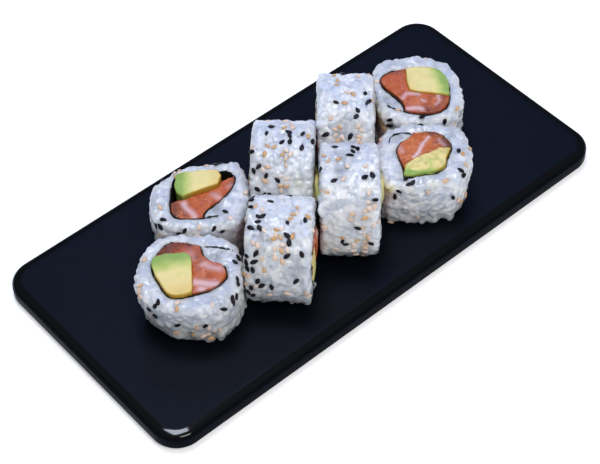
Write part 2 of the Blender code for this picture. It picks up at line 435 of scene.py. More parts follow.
@dataclass(frozen=True)
class CookedRice(Finish):
    """Short-grain rice, boiled, seasoned and pressed in a mat.

    The eye gets soft white grains run together: light sinks in and comes out cool and blurred,
    the hollows between grains get painted grey shade, some grains are clearer than others, the
    skin has a damp shine and its lower part is painted greyer as shade.
    """

    name: str = "pressed_sushi_rice"
    grain: str = "fcfbf8"
    glassy: str = "dbe0e8"
    clear: str = "cfd5de"
    # grey of glassy rice, also the painted shade at the foot and in marked places
    wet_and_shade: str = "94989c"
    # grey of the dark joints between grains and of the painted shade in the deep hollows
    joint_and_pit_shade: str = "8d9bb0"
    avocado: str = "d8cf62"
    cloud_size: float = 6 * MM
    glassy_from: tuple[float, float] = (0.42, 0.68)
    grain_size: float = 3.3 * MM
    bend: float = 3.0 * MM  # how far the joints between grains wander
    clear_share: float = 0.8  # how far the clearest grains differ from the white ones
    pit_height: float = 0.4  # the crest below which a pit gets painted shade
    pit_shade_strength: float = 0.4  # how dark the painted shade in the few deepest hollows between grains is
    joint_width: float = 0.12  # share of a grain
    joint_share: float = 0.06
    joint_depth: float = 0.08 * MM
    bloom_size: float = 0.7 * MM
    bloom_depth: float = 0.1 * MM
    roughness: tuple[float, float] = (0.24, 0.08)
    glow: float = 5.0 * MM  # how far light travels inside the rice

    def look(self, node: Callable) -> dict[str, object]:
        """Say how the rice looks, from its "crest" over the hollows, "moist" and "smear".

        Args:
            node: What adds a node to the material.

        Returns:
            The shader's inputs.
        """
        where = node("TexCoord").outputs["Object"]
        crest, moist, smear = read_attributes(node, "crest", "moist", "smear")
        clouds, cells, bloom = (
            node("TexNoise", {"Vector": where, "Scale": 1 / size, "Detail": detail})
            for size, detail in ((self.cloud_size, 3.0), (self.grain_size, 1.0), (self.bloom_size, 2.0))
        )
        bent = node("VectorMath", (cells.outputs["Color"], (self.bend,) * 3, where),
                    operation="MULTIPLY_ADD")
        grains = {"Vector": bent, "Scale": 1 / self.grain_size}
        each = node("TexVoronoi", {**grains, "Smoothness": 0.35}, feature="SMOOTH_F1")
        edges = node("TexVoronoi", grains, feature="DISTANCE_TO_EDGE")
        soft = {"interpolation_type": "SMOOTHSTEP"}
        # painted shade: the rice greys where it lies below its neighbours, in the hollows between grains
        sunk = node("MapRange", (crest, self.pit_height, 0.0, 0.0, self.pit_shade_strength))
        here = node("MapRange", (cells, 0.46, 0.62, 0.1, 1.0))
        pit_shade = node("Math", (sunk, here), operation="MULTIPLY")
        joint = node("MapRange", (edges, self.joint_width, 0.0, 0.0, self.joint_share), **soft)
        clear = node("MapRange", (each.outputs["Color"], 0.25, 0.8, 0.0, self.clear_share))
        # moist greys the rice: glassy at a cut, painted shade at the foot and in marked places
        colour = lay_colours(
            node, self.grain, (node("MapRange", (clouds, *self.glassy_from)), self.glassy),
            (clear, self.clear), (node("Math", (pit_shade, joint), operation="MAXIMUM"), self.joint_and_pit_shade),
            (moist, self.wet_and_shade), (smear, self.avocado),
        )
        rounded = node("MapRange", (edges, 0.0, 0.3), **soft)
        joints = node("Bump", {"Height": rounded, "Distance": self.joint_depth})
        return dict(
            Base_Color=colour,
            Roughness=node("MapRange", (clouds, 0.3, 0.7, *self.roughness)),
            Normal=node("Bump", {"Height": bloom, "Distance": self.bloom_depth, "Normal": joints}),
            IOR=1.38,
            Specular_IOR_Level=1.0,
            Subsurface_Weight=0.9,
            Subsurface_Radius=(1.0, 1.0, 1.1),
            Subsurface_Scale=self.glow,
        )


@dataclass(frozen=True)
class ToastedNori(Finish):
    """Seaweed pressed and dried into a sheet, toasted, then softened by the rice.

    The eye gets a matt green-black line with a fibrous, slightly torn edge.
    """

    name: str = "toasted_nori"
    dark: str = "0a0d0b"
    light: str = "1d2419"
    fibre_size: float = 0.9 * MM
    fibre_depth: float = 0.08 * MM

    def look(self, node: Callable) -> dict[str, object]:
        """Say how the nori looks.

        Args:
            node: What adds a node to the material.

        Returns:
            The shader's inputs.
        """
        fibres = node("TexNoise", {"Vector": node("TexCoord").outputs["Object"], "Detail": 4.0,
                                   "Scale": 1 / self.fibre_size, "Distortion": 0.8})
        return dict(
            Base_Color=lay_colours(node, self.dark, (fibres, self.light)),
            Normal=node("Bump", {"Height": fibres, "Distance": self.fibre_depth}),
            Roughness=0.55,
            IOR=1.45,
            Specular_IOR_Level=0.3,
        )


@dataclass(frozen=True)
class RawSalmon(Finish):
    """Raw salmon, cut across the muscle.

    The eye gets glistening orange flesh that glows from inside, pale lilac-pink lines of fat,
    painted glints of light as pale dots and specks, duller brown patches where the strip dried and
    darker long sides.
    """

    name: str = "raw_salmon"
    flesh: str = "c35c28"
    pink: str = "d87e48"
    # also the colour of the painted glints
    fat: str = "edccce"
    dried: str = "6e3c28"
    edge: str = "803619"
    flake_size: float = 3.2 * MM
    flake_change: float = 0.35  # how far flakes are pinker or redder than the rest
    fleck_size: float = 0.7 * MM
    # painted glints of light: pale specks and pale dots
    fleck_glint_share: float = 0.28
    glint_size: float = 1.3 * MM
    glint_share: float = 0.55
    dull_share: float = 0.45
    edge_share: float = 0.7
    roughness: tuple[float, float] = (0.08, 0.16)
    glow: float = 1.4 * MM

    def look(self, node: Callable) -> dict[str, object]:
        """Say how the salmon looks, from its "fat", "dried", "pink" and "rim".

        Args:
            node: What adds a node to the material.

        Returns:
            The shader's inputs.
        """
        where = node("TexCoord").outputs["Object"]
        pink, dried, fat, rim = read_attributes(node, "pink", "dried", "fat", "rim")
        flakes = node("TexNoise", {"Vector": where, "Scale": 1 / self.flake_size, "Detail": 4.0,
                                   "Roughness": 0.6, "Distortion": 0.7})
        flecks = node("TexNoise", {"Vector": where, "Scale": 1 / self.fleck_size, "Detail": 2.0})
        # painted glints: pale dots on some of the cells
        glint_cells = node("TexVoronoi", {"Vector": where, "Scale": 1 / self.glint_size})
        glint_dot = node("MapRange", (glint_cells, 0.3, 0.12))
        chosen = node("MapRange", (glint_cells.outputs["Color"], 0.5, 0.75, 0.0, self.glint_share))
        glint = node("Math", (glint_dot, chosen), operation="MULTIPLY")
        spread = node("MapRange", (flakes, 0.35, 0.65, -self.flake_change, self.flake_change))
        dull = node("MapRange", (flakes, 0.48, 0.32, 0.0, self.dull_share))
        # painted glints: pale specks where the fine noise peaks
        fleck_glints = node("MapRange", (flecks, 0.58, 0.78, 0.0, self.fleck_glint_share))
        joined = {"operation": "ADD", "use_clamp": True}
        fat_and_glints = node("Math", (fat, fleck_glints), **joined)
        colour = lay_colours(
            node, self.flesh, (node("Math", (pink, spread), **joined), self.pink),
            (node("Math", (dried, dull), **joined), self.dried),
            (node("Math", (fat_and_glints, glint), **joined), self.fat),
            (node("Math", (rim, self.edge_share), operation="MULTIPLY"), self.edge),
        )
        waves = node("Bump", {"Height": flakes, "Distance": 0.3 * MM})
        return dict(
            Base_Color=colour,
            Roughness=node("MapRange", (flakes, 0.3, 0.7, *self.roughness)),
            Normal=node("Bump", {"Height": flecks, "Distance": 0.2 * MM, "Normal": waves}),
            IOR=1.38,
            Specular_IOR_Level=0.35,
            Subsurface_Weight=0.35,
            Subsurface_Radius=(1.0, 0.45, 0.3),
            Subsurface_Scale=self.glow,
        )


@dataclass(frozen=True)
class RipeAvocado(Finish):
    """Ripe avocado, peeled and sliced.

    The eye gets buttery cream at the stone side that turns to fresh green where the skin was,
    with a smooth waxy cut, long sides of a deeper colour with painted shade on them, and a few
    darker threads.
    """

    name: str = "ripe_avocado"
    cream: str = "f7e59c"
    stone_side: str = "f2d284"
    middle: str = "d0d678"
    green: str = "99b85a"
    # the long sides: a deeper colour, with painted shade
    shaded_skin_wall: str = "a1bc5c"
    shaded_stone_wall: str = "cba02c"
    wall_shade_share: float = 0.9
    thread: str = "8a9a3c"
    thread_share: float = 0.35
    bruise_share: float = 0.4
    cloud_size: float = 4 * MM
    cloud_change: float = 0.12
    thread_size: float = 1.6 * MM
    thread_depth: float = 0.05 * MM

    def look(self, node: Callable) -> dict[str, object]:
        """Say how the avocado looks, from its "green", "gold", "bruise" and "rim".

        Args:
            node: What adds a node to the material.

        Returns:
            The shader's inputs.
        """
        where = node("TexCoord").outputs["Object"]
        green, gold, bruise, rim = read_attributes(node, "green", "gold", "bruise", "rim")
        clouds, threads = (
            node("TexNoise", {"Vector": where, "Scale": 1 / size, "Detail": 3.0})
            for size in (self.cloud_size, self.thread_size)
        )
        drift = node("MapRange", (clouds, 0.3, 0.7, -self.cloud_change, self.cloud_change))
        ripe = node("Math", (green, drift), operation="ADD", use_clamp=True)
        speck = node("MapRange", (threads, 0.62, 0.8, 0.0, self.thread_share))
        worn = node("Math", (bruise, self.bruise_share, speck), operation="MULTIPLY_ADD")
        # painted shade: the long sides take the darker wall colours
        outline = node("Math", (rim, self.wall_shade_share), operation="MULTIPLY")
        colour = lay_colours(
            node, self.cream, (gold, self.stone_side),
            (node("MapRange", (ripe, 0.0, 0.5)), self.middle),
            (node("MapRange", (ripe, 0.5, 1.0)), self.green), (worn, self.thread),
            (outline, lay_colours(node, self.shaded_stone_wall, (green, self.shaded_skin_wall))),
        )
        return dict(
            Base_Color=colour,
            Normal=node("Bump", {"Height": threads, "Distance": self.thread_depth}),
            Roughness=0.36,
            IOR=1.42,
            Specular_IOR_Level=0.35,
            Subsurface_Weight=0.25,
            Subsurface_Radius=(1.0, 0.9, 0.4),
            Subsurface_Scale=1.2 * MM,
        )


@dataclass(frozen=True)
class SesameHull(Finish):
    """Sesame seed in its hull, roasted whole.

    The eye gets smooth little drops with a soft sheen, no two quite the same shade, darker at
    the pointed end.
    """

    pale: str
    deep: str
    tip: str
    roughness: float
    specular: float
    grain_size: float = 0.5 * MM
    grain_depth: float = 0.03 * MM

    def look(self, node: Callable) -> dict[str, object]:
        """Say how the seeds look, from each one's "shade" and from "tip".

        Args:
            node: What adds a node to the material.

        Returns:
            The shader's inputs.
        """
        shade, tip = read_attributes(node, "shade", "tip")
        grain = node("TexNoise", {"Vector": node("TexCoord").outputs["Object"],
                                  "Scale": 1 / self.grain_size, "Detail": 2.0})
        return dict(
            Base_Color=lay_colours(node, self.pale, (shade, self.deep), (tip, self.tip)),
            Normal=node("Bump", {"Height": grain, "Distance": self.grain_depth}),
            Roughness=self.roughness,
            IOR=1.47,
            Specular_IOR_Level=self.specular,
        )


@dataclass(frozen=True)
class StudioPaper(Finish):
    """Seamless white paper, which gives the eye a pale ground with no mark on it."""

    name: str = "studio_paper"
    colour: str = "f8f9fb"
    glow: float = 0.45

    def look(self, node: Callable) -> dict[str, object]:
        """Say how the paper looks.

        Args:
            node: What adds a node to the material.

        Returns:
            The shader's inputs.
        """
        colour = linear(self.colour)
        return dict(Base_Color=colour, Roughness=0.9, IOR=1.3, Emission_Color=colour,
                    Emission_Strength=self.glow)


# ---- The rolls ----


def towards(azimuth: float, elevation: float) -> Vector:
    """Return the direction to a place round the plate, given in degrees."""
    a, e = math.radians(azimuth), math.radians(elevation)
    return Vector((math.sin(a) * math.cos(e), -math.cos(a) * math.cos(e), math.sin(e)))


@dataclass(frozen=True)
class Viewpoint:
    """Where the scene is seen from."""

    azimuth: float = -40.51
    elevation: float = 49.40
    roll: float = -1.0
    lens: float = 104.26
    aim: tuple[float, float, float] = (-6.94 * MM, -2.21 * MM, 0.0)
    distance: float = 776.3 * MM

    def directions(self) -> tuple[Vector, Vector, Vector]:
        """Work out which way the camera faces.

        Returns:
            Its right, up and backward directions.
        """
        a, r = math.radians(self.azimuth), math.radians(self.roll)
        back = towards(self.azimuth, self.elevation)
        right = Vector((math.cos(a), math.sin(a), 0))
        up = back.cross(right)
        c, s = math.cos(r), math.sin(r)
        return right * c + up * s, up * c - right * s, back

    def eye(self) -> Vector:
        """Return where the camera stands."""
        return Vector(self.aim) + self.directions()[2] * self.distance

    def seen(self, places: Points) -> np.ndarray:
        """Work out where places are seen.

        Args:
            places: The places.

        Returns:
            How far across and up each one is seen, at a distance of 1.
        """
        right, up, back = (np.array(d) for d in self.directions())
        away = places - np.array(self.eye())
        return np.stack([away @ right, away @ up], axis=1) / -(away @ back)[:, None]

    def sight(self, across: float, up: float) -> Vector:
        """Return the direction in which a place is seen."""
        right, upward, back = self.directions()
        return (right * across + upward * up - back).normalized()

    def place(self) -> None:
        """Make the camera and give it to the scene."""
        data = bpy.data.cameras.new("camera")
        data.lens = self.lens
        camera = bpy.data.objects.new("camera", data)
        turn = Matrix(self.directions()).transposed().to_4x4()
        camera.matrix_world = Matrix.Translation(self.eye()) @ turn
        bpy.context.scene.collection.objects.link(camera)
        bpy.context.scene.camera = camera


class Pose(Enum):
    """How a piece of roll lies on the plate."""

    UPRIGHT = "on a cut face"
    LYING = "on its rolled side"


@dataclass(frozen=True)
class Stroke:
    """A soft-edged mark on a filling's cross-section, in millimetres about its middle."""

    start: tuple[float, float]
    end: tuple[float, float]
    width: float
    amount: float = 1.0

    def strength(self, section: np.ndarray) -> np.ndarray:
        """Return how strong the mark is at each place.

        Args:
            section: Rows of x and y on the cross-section, in metres.

        Returns:
            The amount on the mark's line, falling to 0 about a width away.
        """
        start, end = np.array(self.start) * MM, np.array(self.end) * MM
        run = end - start
        share = np.clip((section - start) @ run / max(run @ run, TINY), 0, 1)
        distance = np.linalg.norm(section - start - share[:, None] * run, axis=1)
        return self.amount * np.exp(-((distance / (self.width * MM)) ** 2))


@dataclass(frozen=True)
class Mark:
    """A place on a piece's rice that isn't like the rest.

    across and down are shares of the piece's outline as the diner sees it. radius is its size and
    depth how far the rice is dented there, in millimetres, or below 0 how far it stands out.
    smear is how much avocado was rubbed into it and wet_and_shade how far it is greyed, as glassy rice
    and as painted shade.
    """

    across: float
    down: float
    radius: float
    depth: float = 0.0
    smear: float = 0.0
    wet_and_shade: float = 0.0

    def share(self, places: Points, middle: Vector) -> np.ndarray:
        """Return how strong the mark is at each place: 1 in its middle, falling to 0 round it."""
        return np.exp(-((places - middle) ** 2).sum(1) / (self.radius * MM) ** 2)


@dataclass(frozen=True)
class Pinch:
    """A few seeds that fell together: where, how many of each kind and how far apart.

    across, down and spread are shares of the piece's outline as the diner sees it.
    """

    across: float
    down: float
    black: int
    toasted: int
    spread: float = 0.05


@dataclass(frozen=True)
class Roll:
    """One cut piece of roll and what sets it apart.

    yaw is the direction of its cross-section's x axis when it stands, and of its length when it
    lies, in degrees. skin is the direction in degrees that its avocado turns green in, then where
    that starts and how far it takes, in millimetres. number starts its random patterns. fat,
    dried and blush are the salmon's fat, brown and pinker marks, and pink is how pink the rest
    is. ragged is how freely grains hang from its foot and mottle how bruised its avocado is, from
    0 to 1. rise is how far the avocado stands above its solid and sink how far the salmon is
    raised or, below 0, sunk; the bulges are how far each pushes out of a lying piece's ends.
    """

    name: str
    pose: Pose
    yaw: float
    skin: tuple[float, float, float]
    number: int
    fat: tuple[Stroke, ...]
    dried: tuple[Stroke, ...] = ()
    blush: tuple[Stroke, ...] = ()
    pink: float = 0.4
    ragged: float = 0.5
    mottle: float = 0.0
    rise: float = 0.0
    sink: float = 0.0
    salmon_bulge: float = 0.0
    avocado_bulge: float = 0.2
    marks: tuple[Mark, ...] = ()
    seeds: tuple[Pinch, ...] = ()

    @property
    def lying(self) -> bool:
        """Say whether the piece lies on its rolled side."""
        return self.pose is Pose.LYING

    def axes(self) -> np.ndarray:
        """Work out how the piece is turned.

        Returns:
            Rows for its cross-section's x, its cross-section's y and its length.
        """
        turn = math.radians(self.yaw)
        c, s = math.cos(turn), math.sin(turn)
        if self.lying:
            return np.array([(-s, c, 0), (0, 0, 1), (c, s, 0)])
        return np.array([(c, s, 0), (-s, c, 0), (0, 0, 1)])

    def local(self, kind: str, places: Points) -> Points:
        """Return places as section x, section y and length about a solid's middle."""
        low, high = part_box(f"{kind}_{self.name}")
        return (places - np.array((low + high) / 2)) @ self.axes().T

    def look_at(
        self, view: Viewpoint, skin: BVHTree, across: float, down: float
    ) -> tuple[Vector, Vector] | None:
        """Find a place on the piece's rice from where the diner sees it.

        Args:
            view: Where the diner looks from.
            skin: The surface that is looked at.
            across: Share of the seen outline, from its left.
            down: Share of the seen outline, from its top.

        Returns:
            The place and the surface's normal, or None beside the piece.
        """
        seen = view.seen(read_points(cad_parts[f"rice_{self.name}"].data))
        (left, low), (right, high) = seen.min(0), seen.max(0)
        sight = view.sight(left + across * (right - left), high - down * (high - low))
        place, normal, _, _ = skin.ray_cast(view.eye(), sight)
        return None if place is None else (place, normal)


@dataclass
class RiceBed:
    """The rice of one piece: cooked grains bedded over a smaller core and run together."""

    roll: Roll
    view: Viewpoint
    base_voxel: float = 0.7 * MM
    skin_voxel: float = 0.4 * MM
    grain_length: float = 5.2 * MM
    grain_width: float = 3.1 * MM
    spacing: float = 2.6 * MM
    loose_spacing: float = 4.5 * MM
    bedding: float = 0.85 * MM  # how deep the middle of a grain lies
    core_depth: float = 0.35 * MM
    core_at_cut: float = 0.45  # share of that depth under a cut face
    cut_facing: tuple[float, float] = (0.45, 0.9)  # how level a cut face starts and ends to be
    side_facing: tuple[float, float] = (0.05, 0.35)  # how far a rolled side faces outward
    rest_facing: tuple[float, float] = (0.6, 0.9)  # how far a standing piece's underside faces down
    lying_facing: tuple[float, float] = (0.9, 0.97)  # the same of a lying piece
    sectors: int = 36  # in which the outline's radius is measured
    rim_depth: float = 4 * MM  # how far below its outline a surface still counts as rolled side
    side_room: float = 0.75 * MM
    pressed_room: float = 0.4 * MM  # on the rolled side of a lying piece
    end_room: float = 1.2 * MM  # more of it along the cut edges
    end_reach: tuple[float, float] = (4 * MM, 1 * MM)  # how far from the ends that starts and is full
    cut_room: float = 0.15 * MM  # less of it on a cut face
    foot_room: float = 2.2 * MM  # more of it at a ragged foot
    foot_height: float = 7 * MM
    hidden_room: float = 0.2 * MM  # where the piece rests on the plate
    hug: float = 0.4 * MM  # how far the rice swells towards the nori
    hug_change: float = 0.55 * MM
    hug_size: float = 3 * MM
    lip: float = 0.15 * MM  # how much more it swells at the cut
    lip_reach: tuple[float, float] = (2.2 * MM, 0.4 * MM)
    lump: float = 0.8 * MM
    lump_size: float = 7.5 * MM
    lump_level: float = 0.22  # the noise above which a lump stands out
    press: int = 5  # how far the pressed grains run together
    grit: float = 0.16 * MM  # how far bits of broken grain roughen the pressed skin
    grit_size: float = 1.4 * MM
    crest_reach: int = 14
    crest_height: float = 0.16 * MM
    # how high the painted shade at the foot reaches
    foot_shade_reach: float = 17 * MM
    wet_cut: float = 0.4
    foot_shade: tuple[float, float] = (0.7, 1.9)  # painted shade at the foot, of a standing and of a lying piece
    patch_size: float = 5 * MM

    def zones(self, mesh: Mesh) -> dict[str, np.ndarray]:
        """Sort a piece's surface into rolled side, cut faces and inner walls.

        Args:
            mesh: The piece's surface.

        Returns:
            For each vertex, shares of the usual number of "grains" and of "loose" grains, the
            "depth" of the core below the surface and the "room" that a grain has above it.
        """
        place = self.roll.local("rice", read_points(mesh))
        normal = read_normals(mesh) @ self.roll.axes().T
        reach = np.abs(place[:, 2])
        half = reach.max()
        radius = np.linalg.norm(place[:, :2], axis=1)
        outward = (place[:, :2] * normal[:, :2]).sum(1) / np.maximum(radius, TINY)
        turn = np.arctan2(place[:, 1], place[:, 0]) / math.tau + 0.5
        sector = (turn * self.sectors).astype(int) % self.sectors
        rim = np.zeros(self.sectors)
        np.maximum.at(rim, sector, radius)
        rim = ((np.roll(rim, 1) + rim + np.roll(rim, -1)) / 3)[sector]
        cut = smooth_step(np.abs(normal[:, 2]), *self.cut_facing)
        near_rim = smooth_step(radius, rim - self.rim_depth, rim - 0.65 * self.rim_depth)
        side = near_rim * smooth_step(outward, *self.side_facing) * (1 - cut)
        outer = np.maximum(cut, side)
        if self.roll.lying:
            height = place[:, 1] - place[:, 1].min()
            hidden = smooth_step(-normal[:, 1], *self.lying_facing)
        else:
            height = place[:, 2] + half
            hidden = smooth_step(-normal[:, 2], *self.rest_facing)
        foot = smooth_step(-height, -self.foot_height, -1 * MM) * side
        near_cut = smooth_step(reach, *(half - r for r in self.end_reach))
        free = (self.pressed_room if self.roll.lying else self.side_room) + near_cut * self.end_room
        room = self.hug + side * (free - self.hug) - cut * self.cut_room
        room = room + foot * self.roll.ragged * self.foot_room
        swell = self.hug + self.hug_change * wobble(place, self.hug_size, self.roll.number * 5.3)
        swell += self.lip * smooth_step(reach, *(half - r for r in self.lip_reach))
        return {
            "grains": outer * (1 - 0.9 * hidden),
            "loose": np.maximum(foot, 0.8 * near_cut * side * self.roll.lying) * self.roll.ragged,
            "depth": self.core_depth * (side + self.core_at_cut * cut) - swell * (1 - outer),
            "room": np.where(hidden > 0.5, self.hidden_room, room),
        }

    def pressed(self, places: Points) -> np.ndarray:
        """Say how flat the mat or the knife pressed the rice.

        Args:
            places: Places on the rice.

        Returns:
            A share for each place, from 0 to 1.
        """
        place = self.roll.local("rice", places)
        half = np.abs(place[:, 2]).max()
        from_end = half - np.abs(place[:, 2])
        if self.roll.lying:
            return 0.1 + 0.85 * smooth_step(from_end, 0.6 * MM, 3.2 * MM)
        cut = smooth_step(-from_end, -2.5 * MM, -0.8 * MM)
        foot = smooth_step(-(place[:, 2] + half), -self.foot_height, -2 * MM) * self.roll.ragged
        return np.clip(0.95 + 0.05 * cut - 0.35 * foot, 0, 1)

    def moist(self, places: Points, normals: Points) -> np.ndarray:
        """Say how far the rice is greyed: glassy at a fresh cut, and darker near its foot as painted
        shade.

        Args:
            places: Places on the rice.
            normals: The way that it faces there.

        Returns:
            A share for each place.
        """
        low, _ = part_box(f"rice_{self.roll.name}")
        height = places[:, 2] - low.z
        patches = 0.6 + 0.5 * wobble(places, self.patch_size, 60.0 + self.roll.number)
        cut = smooth_step(np.abs(normals @ self.roll.axes()[2]), 0.5, 0.95)
        # painted shade towards the plate
        foot = smooth_step(-height, -self.foot_shade_reach, -2 * MM)
        return (self.wet_cut * cut + self.foot_shade[self.roll.lying] * foot) * patches

    def lay_surface(self, obj: Object) -> list[tuple[Mark, Vector]]:
        """Give a piece's solid lumps, dents and the zones that its grains are laid by.

        Args:
            obj: The piece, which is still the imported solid.

        Returns:
            Each mark that the diner sees and where its middle is.
        """
        fuse(obj, self.base_voxel, 0.5, 2)
        zones = self.zones(obj.data)
        places = read_points(obj.data)
        clumps = np.abs(wobble(places, self.lump_size, self.roll.number * 1.9)) - self.lump_level
        places += read_normals(obj.data) * (self.lump * clumps * zones["grains"])[:, None]
        skin = tree_of(obj)
        found = []
        for mark in self.roll.marks:
            hit = self.roll.look_at(self.view, skin, mark.across, mark.down)
            if hit:
                found.append((mark, hit[0]))
                dent = mark.share(places, hit[0])[:, None] * mark.depth * MM
                places -= dent * np.array(hit[1])
        write_points(obj.data, places)
        write_values(obj.data, **zones)
        return found

    def run_together(self, mesh: Mesh) -> Points:
        """Press the grains and roughen them with grit.

        Args:
            mesh: The grains.

        Returns:
            The mesh's new places.
        """
        places = read_points(mesh)
        pressed = self.pressed(places)[:, None]
        places += pressed * (neighbour_mean(mesh, places, self.press) - places)
        write_points(mesh, places)
        grit = self.grit * wobble(places, self.grit_size, self.roll.number * 2.7)
        places += read_normals(mesh) * grit[:, None]
        write_points(mesh, places)
        return places

    def build(self, tree: NodeTree, material: Material) -> Object:
        """Build the rice.

        Args:
            tree: The Geometry Nodes tree that beds the grains.
            material: The rice's material.

        Returns:
            The piece, one closed skin.
        """
        solid = f"rice_{self.roll.name}"
        obj = copy_of_solid(solid, f"grains_{self.roll.name}")
        found = self.lay_surface(obj)
        add_tree(obj, tree, {
            "Grain Length": self.grain_length, "Grain Width": self.grain_width,
            "Spacing": self.spacing, "Loose Spacing": self.loose_spacing, "Bedding": self.bedding,
            "Seed": self.roll.number, "Finish": material,
        })
        fuse(obj, self.skin_voxel, 0.5, 2)
        mesh = obj.data
        places = self.run_together(mesh)
        # marks add avocado smear, and grey as glassy rice and painted shade
        smear, wet_and_shade = np.zeros((2, len(places)))
        for mark, middle in found:
            share = mark.share(places, middle)
            smear += mark.smear * share
            wet_and_shade += mark.wet_and_shade * share
        # crest: how far the rice stands above its neighbours; below it the material paints shade
        swell = places - neighbour_mean(mesh, places, self.crest_reach)
        height = (swell * read_normals(mesh)).sum(1)
        write_values(
            mesh,
            smear=np.clip(smear, 0, 1),
            crest=smooth_step(height, -self.crest_height, self.crest_height),
            moist=np.clip(self.moist(places, read_normals(mesh)) + wet_and_shade, 0, 1),
        )
        dress(mesh, material)
        hand_in(obj, "rice", solid)
        return obj


def grain_tree() -> NodeTree:
    """Make the tree that beds cooked grains over a rice core.

    Two layers are scattered: a close one sunk into the surface, and a thin one of loose grains
    that lie on top. Every grain is then pressed back to the room that the surface gives it.

    Returns:
        The tree.
    """
    thin, densest = 0.86, 2.0e6  # a grain's thickness in widths, and grains in a square metre
    lifts, sizes = (0.45, 1.45), (0.82, 1.16)  # the least and the most that chance makes of each
    tree, node, given, end = new_geometry_tree(
        "bedded_grains", Grain_Length="Float", Grain_Width="Float", Spacing="Float",
        Loose_Spacing="Float", Bedding="Float", Seed="Int", Finish="Material",
    )
    surface = given["Geometry"]
    normal, place = node("GeometryNodeInputNormal"), node("GeometryNodeInputPosition")
    grains, loose, depth, room = (
        node("GeometryNodeInputNamedAttribute", {"Name": name})
        for name in ("grains", "loose", "depth", "room")
    )
    inward = node("Math", (depth, -1.0), operation="MULTIPLY")
    drawn_in = node("VectorMath", {0: normal, "Scale": inward}, operation="SCALE")
    core = node("GeometryNodeSetPosition", {"Geometry": surface, "Offset": drawn_in})
    ball = node("GeometryNodeMeshIcoSphere", {"Radius": 0.5, "Subdivisions": 2})
    thickness = node("Math", (given["Grain Width"], thin), operation="MULTIPLY")
    size = node("CombineXYZ", (given["Grain Length"], given["Grain Width"], thickness))
    cooked = node("GeometryNodeTransform", {"Geometry": ball, "Scale": size})

    def layer(
        spacing: NodeSocket, share: Node, lift: object, shift: int, tilt: float
    ) -> Node:
        """Scatter grains over the surface, turned at random.

        Args:
            spacing: How far apart they lie at least.
            share: The share of the usual number at each place.
            lift: How high they lie.
            shift: Sets the layer's random numbers apart.
            tilt: How far they tip, in radians.

        Returns:
            The node whose output is the layer's grains.
        """
        seed, size_seed, lift_seed = (
            node("Math", (given["Seed"], float(shift + more)), operation="ADD") for more in (0, 7, 13)
        )
        scatter = node(
            "GeometryNodeDistributePointsOnFaces",
            {"Mesh": surface, "Distance Min": spacing, "Density Max": densest,
             "Density Factor": share, "Seed": seed},
            distribute_method="POISSON",
        )
        uneven, vary = (
            node("FunctionNodeRandomValue", {2: low, 3: high, "Seed": start}, data_type="FLOAT")
            for (low, high), start in ((lifts, lift_seed), (sizes, size_seed))
        )
        height = node("Math", (lift, uneven.outputs[1]), operation="MULTIPLY")
        raised = node("VectorMath", {0: scatter.outputs["Normal"], "Scale": height}, operation="SCALE")
        spin = node("FunctionNodeRandomValue", data_type="FLOAT_VECTOR", inputs={
            0: (-tilt, -tilt, 0.0), 1: (tilt, tilt, math.tau), "Seed": seed})
        turn = node("FunctionNodeRotateRotation", rotation_space="LOCAL", inputs={
            "Rotation": scatter.outputs["Rotation"],
            "Rotate By": node("FunctionNodeEulerToRotation", (spin,))})
        return node("GeometryNodeInstanceOnPoints", {
            "Points": node("GeometryNodeSetPosition", {"Geometry": scatter, "Offset": raised}),
            "Instance": cooked, "Rotation": turn, "Scale": vary.outputs[1]})

    bedding = node("Math", (given["Bedding"], -1.0), operation="MULTIPLY")
    both = node("GeometryNodeJoinGeometry")
    for instances in (
        layer(given["Spacing"], grains, bedding, 0, 0.45),
        layer(given["Loose Spacing"], loose, 0.4 * MM, 50, 0.5),
    ):
        tree.links.new(instances.outputs[0], both.inputs[0])
    real = node("GeometryNodeRealizeInstances", (both,))
    wall, foot, free = (
        node("GeometryNodeSampleNearestSurface",
             {"Mesh": surface, "Value": value, "Sample Position": place}, data_type=kind)
        for kind, value in (("FLOAT_VECTOR", normal), ("FLOAT_VECTOR", place), ("FLOAT", room))
    )
    away = node("VectorMath", (place, foot), operation="SUBTRACT")
    proud = node("VectorMath", (away, wall), operation="DOT_PRODUCT").outputs["Value"]
    excess = node("Math", (proud, free), operation="SUBTRACT")
    excess = node("Math", (excess, 0.0), operation="MAXIMUM")
    inward = node("Math", (excess, -1.0), operation="MULTIPLY")
    offset = node("VectorMath", {0: wall, "Scale": inward}, operation="SCALE")
    pressed = node("GeometryNodeSetPosition", {"Geometry": real, "Offset": offset})
    whole = node("GeometryNodeJoinGeometry")
    for part in (core, pressed):
        tree.links.new(part.outputs[0], whole.inputs[0])
    dressed = node("GeometryNodeSetMaterial", {"Geometry": whole, "Material": given["Finish"]})
    fill_inputs(end, (dressed,))
    return tree


